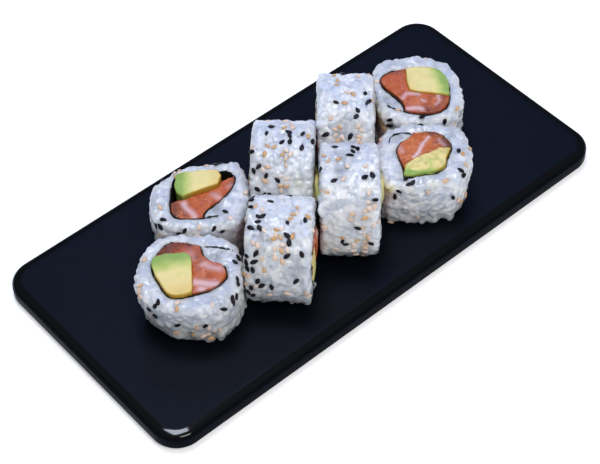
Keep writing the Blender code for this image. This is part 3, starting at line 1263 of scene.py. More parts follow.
@dataclass
class SoftFilling:
    """A strip of salmon or avocado that runs through one piece of roll."""

    roll: Roll
    kind: str
    piece: str
    voxel: float = 0.4 * MM
    soften: int = 2
    swell: float = 0.28 * MM
    dome: float = 0.4 * MM
    dome_reach: float = 5 * MM  # how far from an end the doming starts
    tuck: float = 1.6 * MM  # how far the edges of a lying piece's ends are drawn in
    proud: float = 0.0
    hump_size: float = 4.5 * MM
    hump: float = 0.4 * MM
    nick_size: float = 1.8 * MM
    nick: float = 0.6 * MM  # how deep the knife tore a bruised filling

    def shape(self) -> Object:
        """Soften the strip, make its sides uneven and dome its ends.

        Returns:
            The strip.
        """
        obj = copy_of_solid(f"{self.kind}_{self.roll.name}", f"{self.piece}_{self.roll.name}")
        fuse(obj, self.voxel, 0.6, self.soften)
        mesh, number = obj.data, self.roll.number
        places, normals = read_points(mesh), read_normals(mesh)
        local = self.roll.local(self.kind, places)
        out = self.swell + self.hump * wobble(places, self.hump_size, number * 3.1)
        out += self.nick * self.roll.mottle * wobble(places, self.nick_size, number * 4.3)
        reach = np.linalg.norm(local[:, :2], axis=1)
        half = np.abs(local[:, 2]).max()
        places += normals * out[:, None]
        end = smooth_step(np.abs(local[:, 2]), half - self.dome_reach, half)
        share = (reach / reach.max()) ** 2
        if self.roll.lying:
            dome = getattr(self.roll, f"{self.kind}_bulge") * MM * (1 - share) - self.tuck * share
        else:
            dome = (self.dome * (1 - share) + self.proud) * (local[:, 2] > 0)
        lift = dome * end * np.sign(local[:, 2])
        places += lift[:, None] * self.roll.axes()[2]
        write_points(mesh, places)
        return obj

    def rim(self, mesh: Mesh) -> np.ndarray:
        """Tell the cut faces from the long sides.

        Args:
            mesh: The strip.

        Returns:
            For each vertex, 0 on a cut face and 1 on a long side.
        """
        flatness = np.abs(read_normals(mesh) @ self.roll.axes()[2])
        low, high = (0.1, 0.5) if self.roll.lying else (0.55, 0.93)
        return 1 - smooth_step(neighbour_mean(mesh, flatness[:, None], 2)[:, 0], low, high)

    def finish(self, obj: Object, material: Material) -> Object:
        """Dress the piece, attach it to the one body and hide its solid.

        Args:
            obj: The piece.
            material: Its finish.

        Returns:
            The piece.
        """
        dress(obj.data, material)
        hand_in(obj, self.kind, f"{self.kind}_{self.roll.name}")
        return obj


@dataclass
class SalmonStrip(SoftFilling):
    """A strip of raw salmon with its lines of fat."""

    drift: float = 0.9 * MM  # how far its marks wander
    drift_size: float = 5 * MM
    ridge: float = 0.12 * MM  # how far the fat stands out

    def build(self, material: Material) -> Object:
        """Build the strip and store where it is fatty, dried and pink.

        Args:
            material: The piece's finish.

        Returns:
            The piece.
        """
        obj = self.shape()
        mesh, roll = obj.data, self.roll
        places = read_points(mesh)
        drift = [wobble(places, self.drift_size, seed + roll.number) for seed in (11.0, 23.0)]
        section = roll.local(self.kind, places)[:, :2] + self.drift * np.stack(drift, axis=1)
        fat, dried, blush = (
            np.max([np.zeros(len(section)), *(s.strength(section) for s in strokes)], 0)
            for strokes in (roll.fat, roll.dried, roll.blush)
        )
        pink = np.clip(roll.pink + blush, 0, 1)
        write_values(mesh, rim=self.rim(mesh), fat=fat, dried=dried, pink=pink)
        write_points(mesh, places + read_normals(mesh) * (self.ridge * fat)[:, None])
        return self.finish(obj, material)


@dataclass
class AvocadoSlice(SoftFilling):
    """A slice of avocado, cream on the stone side and green where the skin was."""

    ripening: float = 1.0 * MM  # how far the line between green and cream wanders
    ripening_size: float = 6 * MM
    stone_reach: tuple[float, float] = (3 * MM, 12 * MM)  # where the golden side starts and is full
    patch_size: float = 3 * MM
    bruise_size: float = 2 * MM

    def build(self, material: Material) -> Object:
        """Build the slice and store how green, golden and bruised it is.

        Args:
            material: The piece's finish.

        Returns:
            The piece.
        """
        obj = self.shape()
        mesh, roll = obj.data, self.roll
        places = read_points(mesh)
        local = roll.local(self.kind, places)
        direction, start, reach = roll.skin
        turn = math.radians(direction)
        depth = local[:, 0] * math.cos(turn) + local[:, 1] * math.sin(turn)
        depth = depth + self.ripening * wobble(places, self.ripening_size, 5.0 + roll.number)
        green = smooth_step(depth, start * MM, (start + reach) * MM)
        patches = roll.mottle * wobble(places, self.patch_size, 40.0 + roll.number)
        gold = smooth_step(-depth, *self.stone_reach) + 0.3 * roll.mottle
        write_values(
            mesh,
            green=np.clip(green + patches, 0, 1),
            gold=np.clip(gold, 0, 1),
            bruise=roll.mottle * smooth_step(wobble(places, self.bruise_size, 71.0), -0.1, 0.5),
            rim=self.rim(mesh),
        )
        return self.finish(obj, material)


@dataclass
class NoriSheet:
    """The sheet of nori coiled in one piece of roll."""

    roll: Roll
    bands: tuple[float, ...] = (0.25 * MM, 1.0 * MM, 3.0 * MM)  # where its ends are cut finer
    longest: float = 0.7 * MM  # an edge that is longer is cut into four near the ends
    tear: float = 0.8 * MM
    tear_size: float = 1.2 * MM
    dip: float = 0.12 * MM  # how far the sheet ends below the cut between rice and filling
    dip_change: float = 0.85 * MM
    dip_size: float = 2.4 * MM
    tail_clear: float = 1.6 * MM  # a sheet this far from the filling is the coil's loose tail
    tail_rise: float = 0.45 * MM
    ripple: float = 0.26 * MM
    ripple_size: float = 1.4 * MM
    crease: float = 50.0  # degrees above which an edge stays sharp

    def tail(self, places: Points) -> np.ndarray:
        """Tell where the sheet has left the filling.

        Args:
            places: Places on the sheet.

        Returns:
            For each place, 1 where the sheet runs between rice and 0 beside the filling.
        """
        fillings = [tree_of(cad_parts[f"{k}_{self.roll.name}"]) for k in ("salmon", "avocado")]
        away = np.array([min(f.find_nearest(Vector(p))[3] for f in fillings) for p in places])
        return smooth_step(away, self.tail_clear, 1.4 * self.tail_clear)

    def cut_finer(self, mesh: Mesh, middle: Vector, half: float) -> None:
        """Give the sheet's ends edges short enough to tear.

        Args:
            mesh: The sheet.
            middle: Its middle.
            half: Half its length.
        """
        along = Vector(self.roll.axes()[2])
        bm = bmesh.new()
        bm.from_mesh(mesh)
        for inset in self.bands:
            for side in (-1, 1):
                bmesh.ops.bisect_plane(
                    bm,
                    geom=[*bm.verts, *bm.edges, *bm.faces],
                    plane_co=middle + along * side * (half - inset),
                    plane_no=along,
                    dist=0.001 * MM,
                )
        start = half - 1.5 * self.bands[1]
        rims = [
            edge for edge in bm.edges
            if all(abs((v.co - middle).dot(along)) > start for v in edge.verts)
            and edge.calc_length() > self.longest
        ]
        bmesh.ops.subdivide_edges(bm, edges=rims, cuts=3, use_grid_fill=True)
        bmesh.ops.triangulate(bm, faces=bm.faces)
        bm.to_mesh(mesh)
        bm.free()

    def build(self, material: Material) -> Object:
        """Build the sheet with torn edges.

        Args:
            material: The piece's finish.

        Returns:
            The piece.
        """
        solid = f"nori_{self.roll.name}"
        obj = copy_of_solid(solid, f"sheet_{self.roll.name}")
        mesh = obj.data
        low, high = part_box(solid)
        half = np.abs(self.roll.local("nori", read_points(mesh))[:, 2]).max()
        self.cut_finer(mesh, (low + high) / 2, half)
        places = read_points(mesh)
        length = self.roll.local("nori", places)[:, 2]
        edge = smooth_step(np.abs(length), half - 0.8 * MM, half)
        tail = self.tail(places)
        spikes = self.tail_rise + self.tear * wobble(places, self.tear_size, 2.0)
        dips = self.dip_change * wobble(places, self.dip_size, 6.0) - self.dip
        dips += 0.5 * self.tear * wobble(places, self.tear_size, 8.0)
        rag = (tail * spikes + (1 - tail) * dips) * edge * np.sign(length)
        places += rag[:, None] * self.roll.axes()[2]
        bend = self.ripple * wobble(places, self.ripple_size, 9.0)
        write_points(mesh, places + read_normals(mesh) * bend[:, None])
        dress(mesh, material)
        mesh.set_sharp_from_angle(angle=math.radians(self.crease))
        hand_in(obj, "nori", solid)
        return obj


# ---- Sesame ----


class Sesame(Enum):
    """The two kinds of seed."""

    BLACK = "black_sesame"
    TOASTED = "toasted_sesame"


@dataclass
class Table:
    """What the seeds are strewn over: the pieces' rice, and the places that are taken on each."""

    rolls: tuple[Roll, ...]
    view: Viewpoint
    rice: dict[str, BVHTree] = field(default_factory=dict)
    taken: dict[str, list[Vector]] = field(default_factory=dict)

    def crowded(self, name: str, place: Vector, clear: float) -> bool:
        """Say whether a place on a piece's rice is within clear of a seed that lies there."""
        return any((place - other).length < clear for other in self.taken[name])


@dataclass
class Sites:
    """Where seeds lie: one row for each seed."""

    place: list = field(default_factory=list)
    facing: list = field(default_factory=list)
    point: list = field(default_factory=list)
    size: list = field(default_factory=list)
    shade: list = field(default_factory=list)


@dataclass
class SesameSprinkle:
    """All the seeds of one kind: each roll's pinches, and a scatter on the far sides."""

    kind: Sesame
    table: Table
    random_seed: int
    length: float = 3.7 * MM
    width: float = 2.15 * MM
    thickness: float = 1.0 * MM
    tip_from: float = 0.62  # share of half the length where the tip starts to darken
    far_count: int = 16
    cluster: float = 2.6  # seeds in a usual cluster
    spread: float = 3.0 * MM
    radius: float = 21 * MM  # of a usual piece
    lying_half: float = 13 * MM  # half a lying piece's length
    lowest: float = 10.2 * MM  # a seed lies clear of the plate
    wall_clear: float = 1.3 * MM  # and of the next piece
    end_share: float = 0.97  # how much of a piece's length seeds fall on
    under: float = -0.9  # the sine of the turn below which a lying piece rests
    facing_away: float = -0.05
    start: float = 45 * MM  # from its middle, where a far seed starts to fall towards a piece
    clear: float = 1.9 * MM  # and of other seeds
    tries: int = 14
    far_tries: int = 60  # for each far seed
    sunk: float = 0.42 * MM

    def seed_mesh(self) -> Object:
        """Make one seed: a flat drop, pointed along +x, that stores its tip.

        Returns:
            The seed.
        """
        bm = bmesh.new()
        bmesh.ops.create_icosphere(bm, subdivisions=2, radius=1)
        tips = bm.verts.layers.float.new("tip")
        for vertex in bm.verts:
            x, y, z = vertex.co
            taper = 1 - 0.42 * max(x, 0) ** 1.3 - 0.08 * x
            vertex[tips] = max(0.0, (x - self.tip_from) / (1 - self.tip_from))
            vertex.co = (
                x * self.length / 2,
                y * taper * self.width / 2,
                z * (0.75 + 0.25 * taper) * self.thickness / 2,
            )
        mesh = mesh_from(bm, f"one_{self.kind.value}")
        mesh.shade_smooth()
        return link_object(mesh.name, mesh)

    def lay(self, found: Sites, roll: Roll, hit: Vector, dice: np.random.Generator) -> None:
        """Lay a seed flat on the rice.

        Args:
            found: The sites, which get one more.
            roll: The piece of roll.
            hit: A place on its rice.
            dice: Random numbers.
        """
        self.table.taken[roll.name].append(hit)
        point = Vector(dice.normal(size=3))
        near = self.table.rice[roll.name].find_nearest_range(hit, 0.4 * self.length)
        facing = sum((n for _, n, _, _ in near), Vector()).normalized()
        level = np.percentile([(place - hit).dot(facing) for place, _, _, _ in near], 75)
        sunk = self.sunk * dice.uniform(0.4, 1.5)
        found.place.append(hit + facing * (level + self.thickness / 2 - sunk))
        found.facing.append(facing)
        found.point.append(point)
        found.size.append(dice.uniform(0.8, 1.06))
        found.shade.append(dice.uniform(0, 1) ** 1.6)

    def drop(self, found: Sites, roll: Roll, dice: np.random.Generator) -> None:
        """Let a piece's pinches of seeds fall, each seed where there is room.

        Args:
            found: The sites, which get more.
            roll: The piece of roll.
            dice: Random numbers.
        """
        table = self.table
        for pinch in roll.seeds:
            for _ in range(pinch.black if self.kind is Sesame.BLACK else pinch.toasted):
                for _ in range(self.tries):
                    off = dice.normal(size=2).clip(-1.6, 1.6) * pinch.spread
                    across, down = np.array((pinch.across, pinch.down)) + off
                    hit = roll.look_at(table.view, table.rice[roll.name], across, down)
                    if hit and not table.crowded(roll.name, hit[0], self.clear):
                        self.lay(found, roll, hit[0], dice)
                        break

    def scatter(self, found: Sites, roll: Roll, dice: np.random.Generator) -> None:
        """Strew seeds in small clusters over the side of a piece that faces away.

        Args:
            found: The sites, which get more.
            roll: The piece of roll.
            dice: Random numbers.
        """
        table, axes = self.table, roll.axes()
        low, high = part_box(f"rice_{roll.name}")
        middle = np.array((low + high) / 2)
        half = self.lying_half if roll.lying else abs(np.array(high - low) @ axes[2]) / 2
        back = table.view.directions()[2]
        others = [skin for name, skin in table.rice.items() if name != roll.name]
        tries = wanted = 0
        while wanted < self.far_count and tries < self.far_tries * self.far_count:
            angle = dice.uniform(0, math.tau)
            height = dice.uniform(-1, 1) * half
            for _ in range(1 + dice.poisson(self.cluster - 1)):
                tries += 1
                turn = angle + dice.normal() * self.spread / self.radius
                level = height + dice.normal() * self.spread
                if abs(level) > half * self.end_share or (roll.lying and math.sin(turn) < self.under):
                    continue
                radial = axes[0] * math.cos(turn) + axes[1] * math.sin(turn)
                outside = Vector(middle + axes[2] * level + radial * self.start)
                hit = table.rice[roll.name].ray_cast(outside, Vector(-radial))[0]
                if hit is None or back.dot(Vector(radial)) > self.facing_away:
                    continue
                walled = any(skin.find_nearest(hit)[3] < self.wall_clear for skin in others)
                low_down = hit.z < self.lowest
                if not (walled or low_down or table.crowded(roll.name, hit, self.clear)):
                    wanted += 1
                    self.lay(found, roll, hit, dice)

    def build(self, tree: NodeTree, material: Material) -> Object:
        """Build every seed of this kind as one piece.

        Args:
            tree: The Geometry Nodes tree that puts a seed on each site.
            material: The seeds' material.

        Returns:
            The piece.
        """
        dice = np.random.default_rng(self.random_seed)
        found = Sites()
        for roll in self.table.rolls:
            self.drop(found, roll, dice)
            self.scatter(found, roll, dice)
        mesh = bpy.data.meshes.new(self.kind.value)
        mesh.from_pydata([tuple(p) for p in found.place], [], [])
        rows = {name: np.array(getattr(found, name)) for name in ("facing", "point", "size", "shade")}
        write_values(mesh, **rows)
        obj = link_object(self.kind.value, mesh)
        one = self.seed_mesh()
        add_tree(obj, tree, {"Seed": one, "Finish": material})
        bake_modifiers(obj)
        bpy.data.objects.remove(one)
        hand_in(obj, self.kind.value)
        return obj


def sowing_tree() -> NodeTree:
    """Make the tree that puts a seed on every site, turned and sized as the site says.

    Returns:
        The tree.
    """
    tree, node, given, end = new_geometry_tree("sown_seeds", Seed="Object", Finish="Material")
    facing, point, size = (
        node("GeometryNodeInputNamedAttribute", {"Name": name}, data_type=kind)
        for name, kind in (("facing", "FLOAT_VECTOR"), ("point", "FLOAT_VECTOR"), ("size", "FLOAT"))
    )
    upright = node("FunctionNodeAlignRotationToVector", {"Vector": facing}, axis="Z")
    turn = node("FunctionNodeAlignRotationToVector", {"Rotation": upright, "Vector": point},
                axis="X", pivot_axis="Z")
    seed = node("GeometryNodeObjectInfo", {"Object": given["Seed"]}).outputs["Geometry"]
    laid = node("GeometryNodeInstanceOnPoints", {
        "Points": given["Geometry"], "Instance": seed, "Rotation": turn, "Scale": size})
    real = node("GeometryNodeRealizeInstances", (laid,))
    dressed = node("GeometryNodeSetMaterial", {"Geometry": real, "Material": given["Finish"]})
    fill_inputs(end, (dressed,))
    return tree


# ---- Plate and studio ----


@dataclass
class SushiPlate:
    """The plate: a flat slab with round corners, its edges rounded by the glaze."""

    corner: float = 12.5 * MM
    crown: float = 13 * MM  # radius in which the top starts to fall towards its edge
    crown_tilt: float = 18.0  # degrees at which the crown meets the edge's own round
    edge: float = 2.2 * MM
    foot: float = 2.4 * MM
    corner_steps: int = 28
    edge_steps: int = 8
    margin: float = 0.4 * MM
    glaze_tilts: tuple[float, float] = (-0.991, -0.6)  # how level the face and the lip end

    def profile(self, thickness: float) -> list[tuple[float, float]]:
        """Draw the plate's edge, from the top down and round to the underside.

        Args:
            thickness: The plate's thickness.

        Returns:
            The inset and the height of each ring.
        """
        tilts = np.linspace(0, math.radians(self.crown_tilt), self.edge_steps + 1)
        last = tilts[-1]
        reach = self.crown * math.sin(last) + self.edge * (1 - math.sin(last))
        rings = [(reach + self.margin, thickness)]
        rings += [
            (reach - self.crown * math.sin(t), thickness - self.crown * (1 - math.cos(t)))
            for t in tilts
        ]
        fallen = rings[-1][1] + self.edge * -math.cos(last)
        rings += [
            (self.edge * (1 - math.sin(t)), fallen + self.edge * math.cos(t))
            for t in np.linspace(last, math.pi / 2, self.edge_steps + 1)[1:]
        ]
        rings += [
            (self.foot * (1 - math.cos(t)), self.foot * (1 - math.sin(t)))
            for t in np.linspace(0, math.pi / 2, self.edge_steps + 1)
        ]
        return [*rings, (self.foot + self.margin, 0.0)]

    def outline(self, half: Vector, inset: float) -> Points:
        """Return the plate's rounded outline, drawn in by a distance.

        Args:
            half: Half the plate's size.
            inset: How far inside the true outline it runs.

        Returns:
            Rows of x and y, anticlockwise.
        """
        turns = np.linspace(0, math.pi / 2, self.corner_steps + 1)
        arc = np.stack([np.cos(turns), np.sin(turns)], axis=1) * (self.corner - inset)
        centre = np.array((half.x, half.y)) - self.corner
        quarters = [
            arc @ np.array(((c, s), (-s, c))) + centre * signs
            for (c, s), signs in zip(
                ((1, 0), (0, 1), (-1, 0), (0, -1)), ((1, 1), (-1, 1), (-1, -1), (1, -1))
            )
        ]
        return np.concatenate(quarters)

    def build(self, *glazes: Material) -> Object:
        """Build the plate.

        Args:
            glazes: The glaze of the top, the glossy one that gathered on its rounded edge, and
                the one of the sides and the underside.

        Returns:
            The piece.
        """
        low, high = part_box("plate")
        half, middle = (high - low) / 2, (high + low) / 2
        bm = bmesh.new()
        rings = [
            [bm.verts.new((x + middle.x, y + middle.y, low.z + height))
             for x, y in self.outline(half, inset)]
            for inset, height in self.profile(high.z - low.z)
        ]
        for upper, lower in zip(rings, rings[1:]):
            for k in range(len(upper)):
                bm.faces.new((upper[k - 1], lower[k - 1], lower[k], upper[k]))
        caps = [bm.faces.new(rings[0]), bm.faces.new(reversed(rings[-1]))]
        bm.normal_update()
        for polygon in bm.faces:
            polygon.material_index = int(np.searchsorted(self.glaze_tilts, -polygon.normal.z))
            polygon.smooth = True
        bmesh.ops.triangulate(bm, faces=caps)
        mesh = mesh_from(bm, "stoneware_plate")
        for glaze in glazes:
            mesh.materials.append(glaze)
        obj = link_object(mesh.name, mesh)
        hand_in(obj, "plate_glaze", "plate")
        return obj


@dataclass(frozen=True)
class Softbox:
    """A flat light aimed at the plate."""

    name: str
    azimuth: float
    elevation: float
    distance: float
    width: float
    height: float
    power: float
    colour: str

    def place(self) -> None:
        """Make the light."""
        data = bpy.data.lights.new(self.name, "AREA")
        data.shape = "RECTANGLE"
        data.size = self.width
        data.size_y = self.height
        data.energy = self.power
        data.color = linear(self.colour)[:3]
        lamp = bpy.data.objects.new(self.name, data)
        way = towards(self.azimuth, self.elevation)
        lamp.location = way * self.distance
        lamp.rotation_mode = "QUATERNION"
        lamp.rotation_quaternion = way.to_track_quat("Z", "Y")
        bpy.context.scene.collection.objects.link(lamp)


@dataclass(frozen=True)
class Studio:
    """Seamless pale floor, soft lights and a pale surround that dims towards the floor."""

    floor_size: float = 4.0
    floor_drop: float = 0.3 * MM
    surround: str = "dfe7f2"
    overhead: float = 0.26
    horizon: float = 0.1
    lights: tuple[Softbox, ...] = (
        Softbox("window", 172, 80, 1.3, 0.42, 0.42, 8.6, "e4edff"),
        Softbox("panel", 140, 47, 1.3, 0.8, 0.3, 3.4, "80a2ff"),
        Softbox("fill", -14, 58, 1.3, 0.5, 0.5, 6.4, "fffbf5"),
    )

    def build(self) -> None:
        """Build the studio round the object."""
        bm = bmesh.new()
        bmesh.ops.create_grid(bm, x_segments=2, y_segments=2, size=self.floor_size / 2)
        bmesh.ops.translate(bm, verts=bm.verts, vec=(0, 0, -self.floor_drop))
        mesh = mesh_from(bm, "floor")
        mesh.materials.append(StudioPaper().material())
        link_object("floor", mesh)
        world = bpy.data.worlds.new("surround")
        world.use_nodes = True
        node = partial(add_node, world.node_tree)
        height = node("SeparateXYZ", (node("TexCoord").outputs["Generated"],)).outputs["Z"]
        rise = node("Math", (height, 3.0), operation="POWER", use_clamp=True)
        strength = node("MapRange", {"Value": rise, "To Min": self.horizon, "To Max": self.overhead})
        sky = world.node_tree.nodes["Background"]
        fill_inputs(sky, {"Color": linear(self.surround), "Strength": strength})
        bpy.context.scene.world = world
        for light in self.lights:
            light.place()
        bpy.context.scene.view_settings.view_transform = "Standard"


# ---- The platter ----

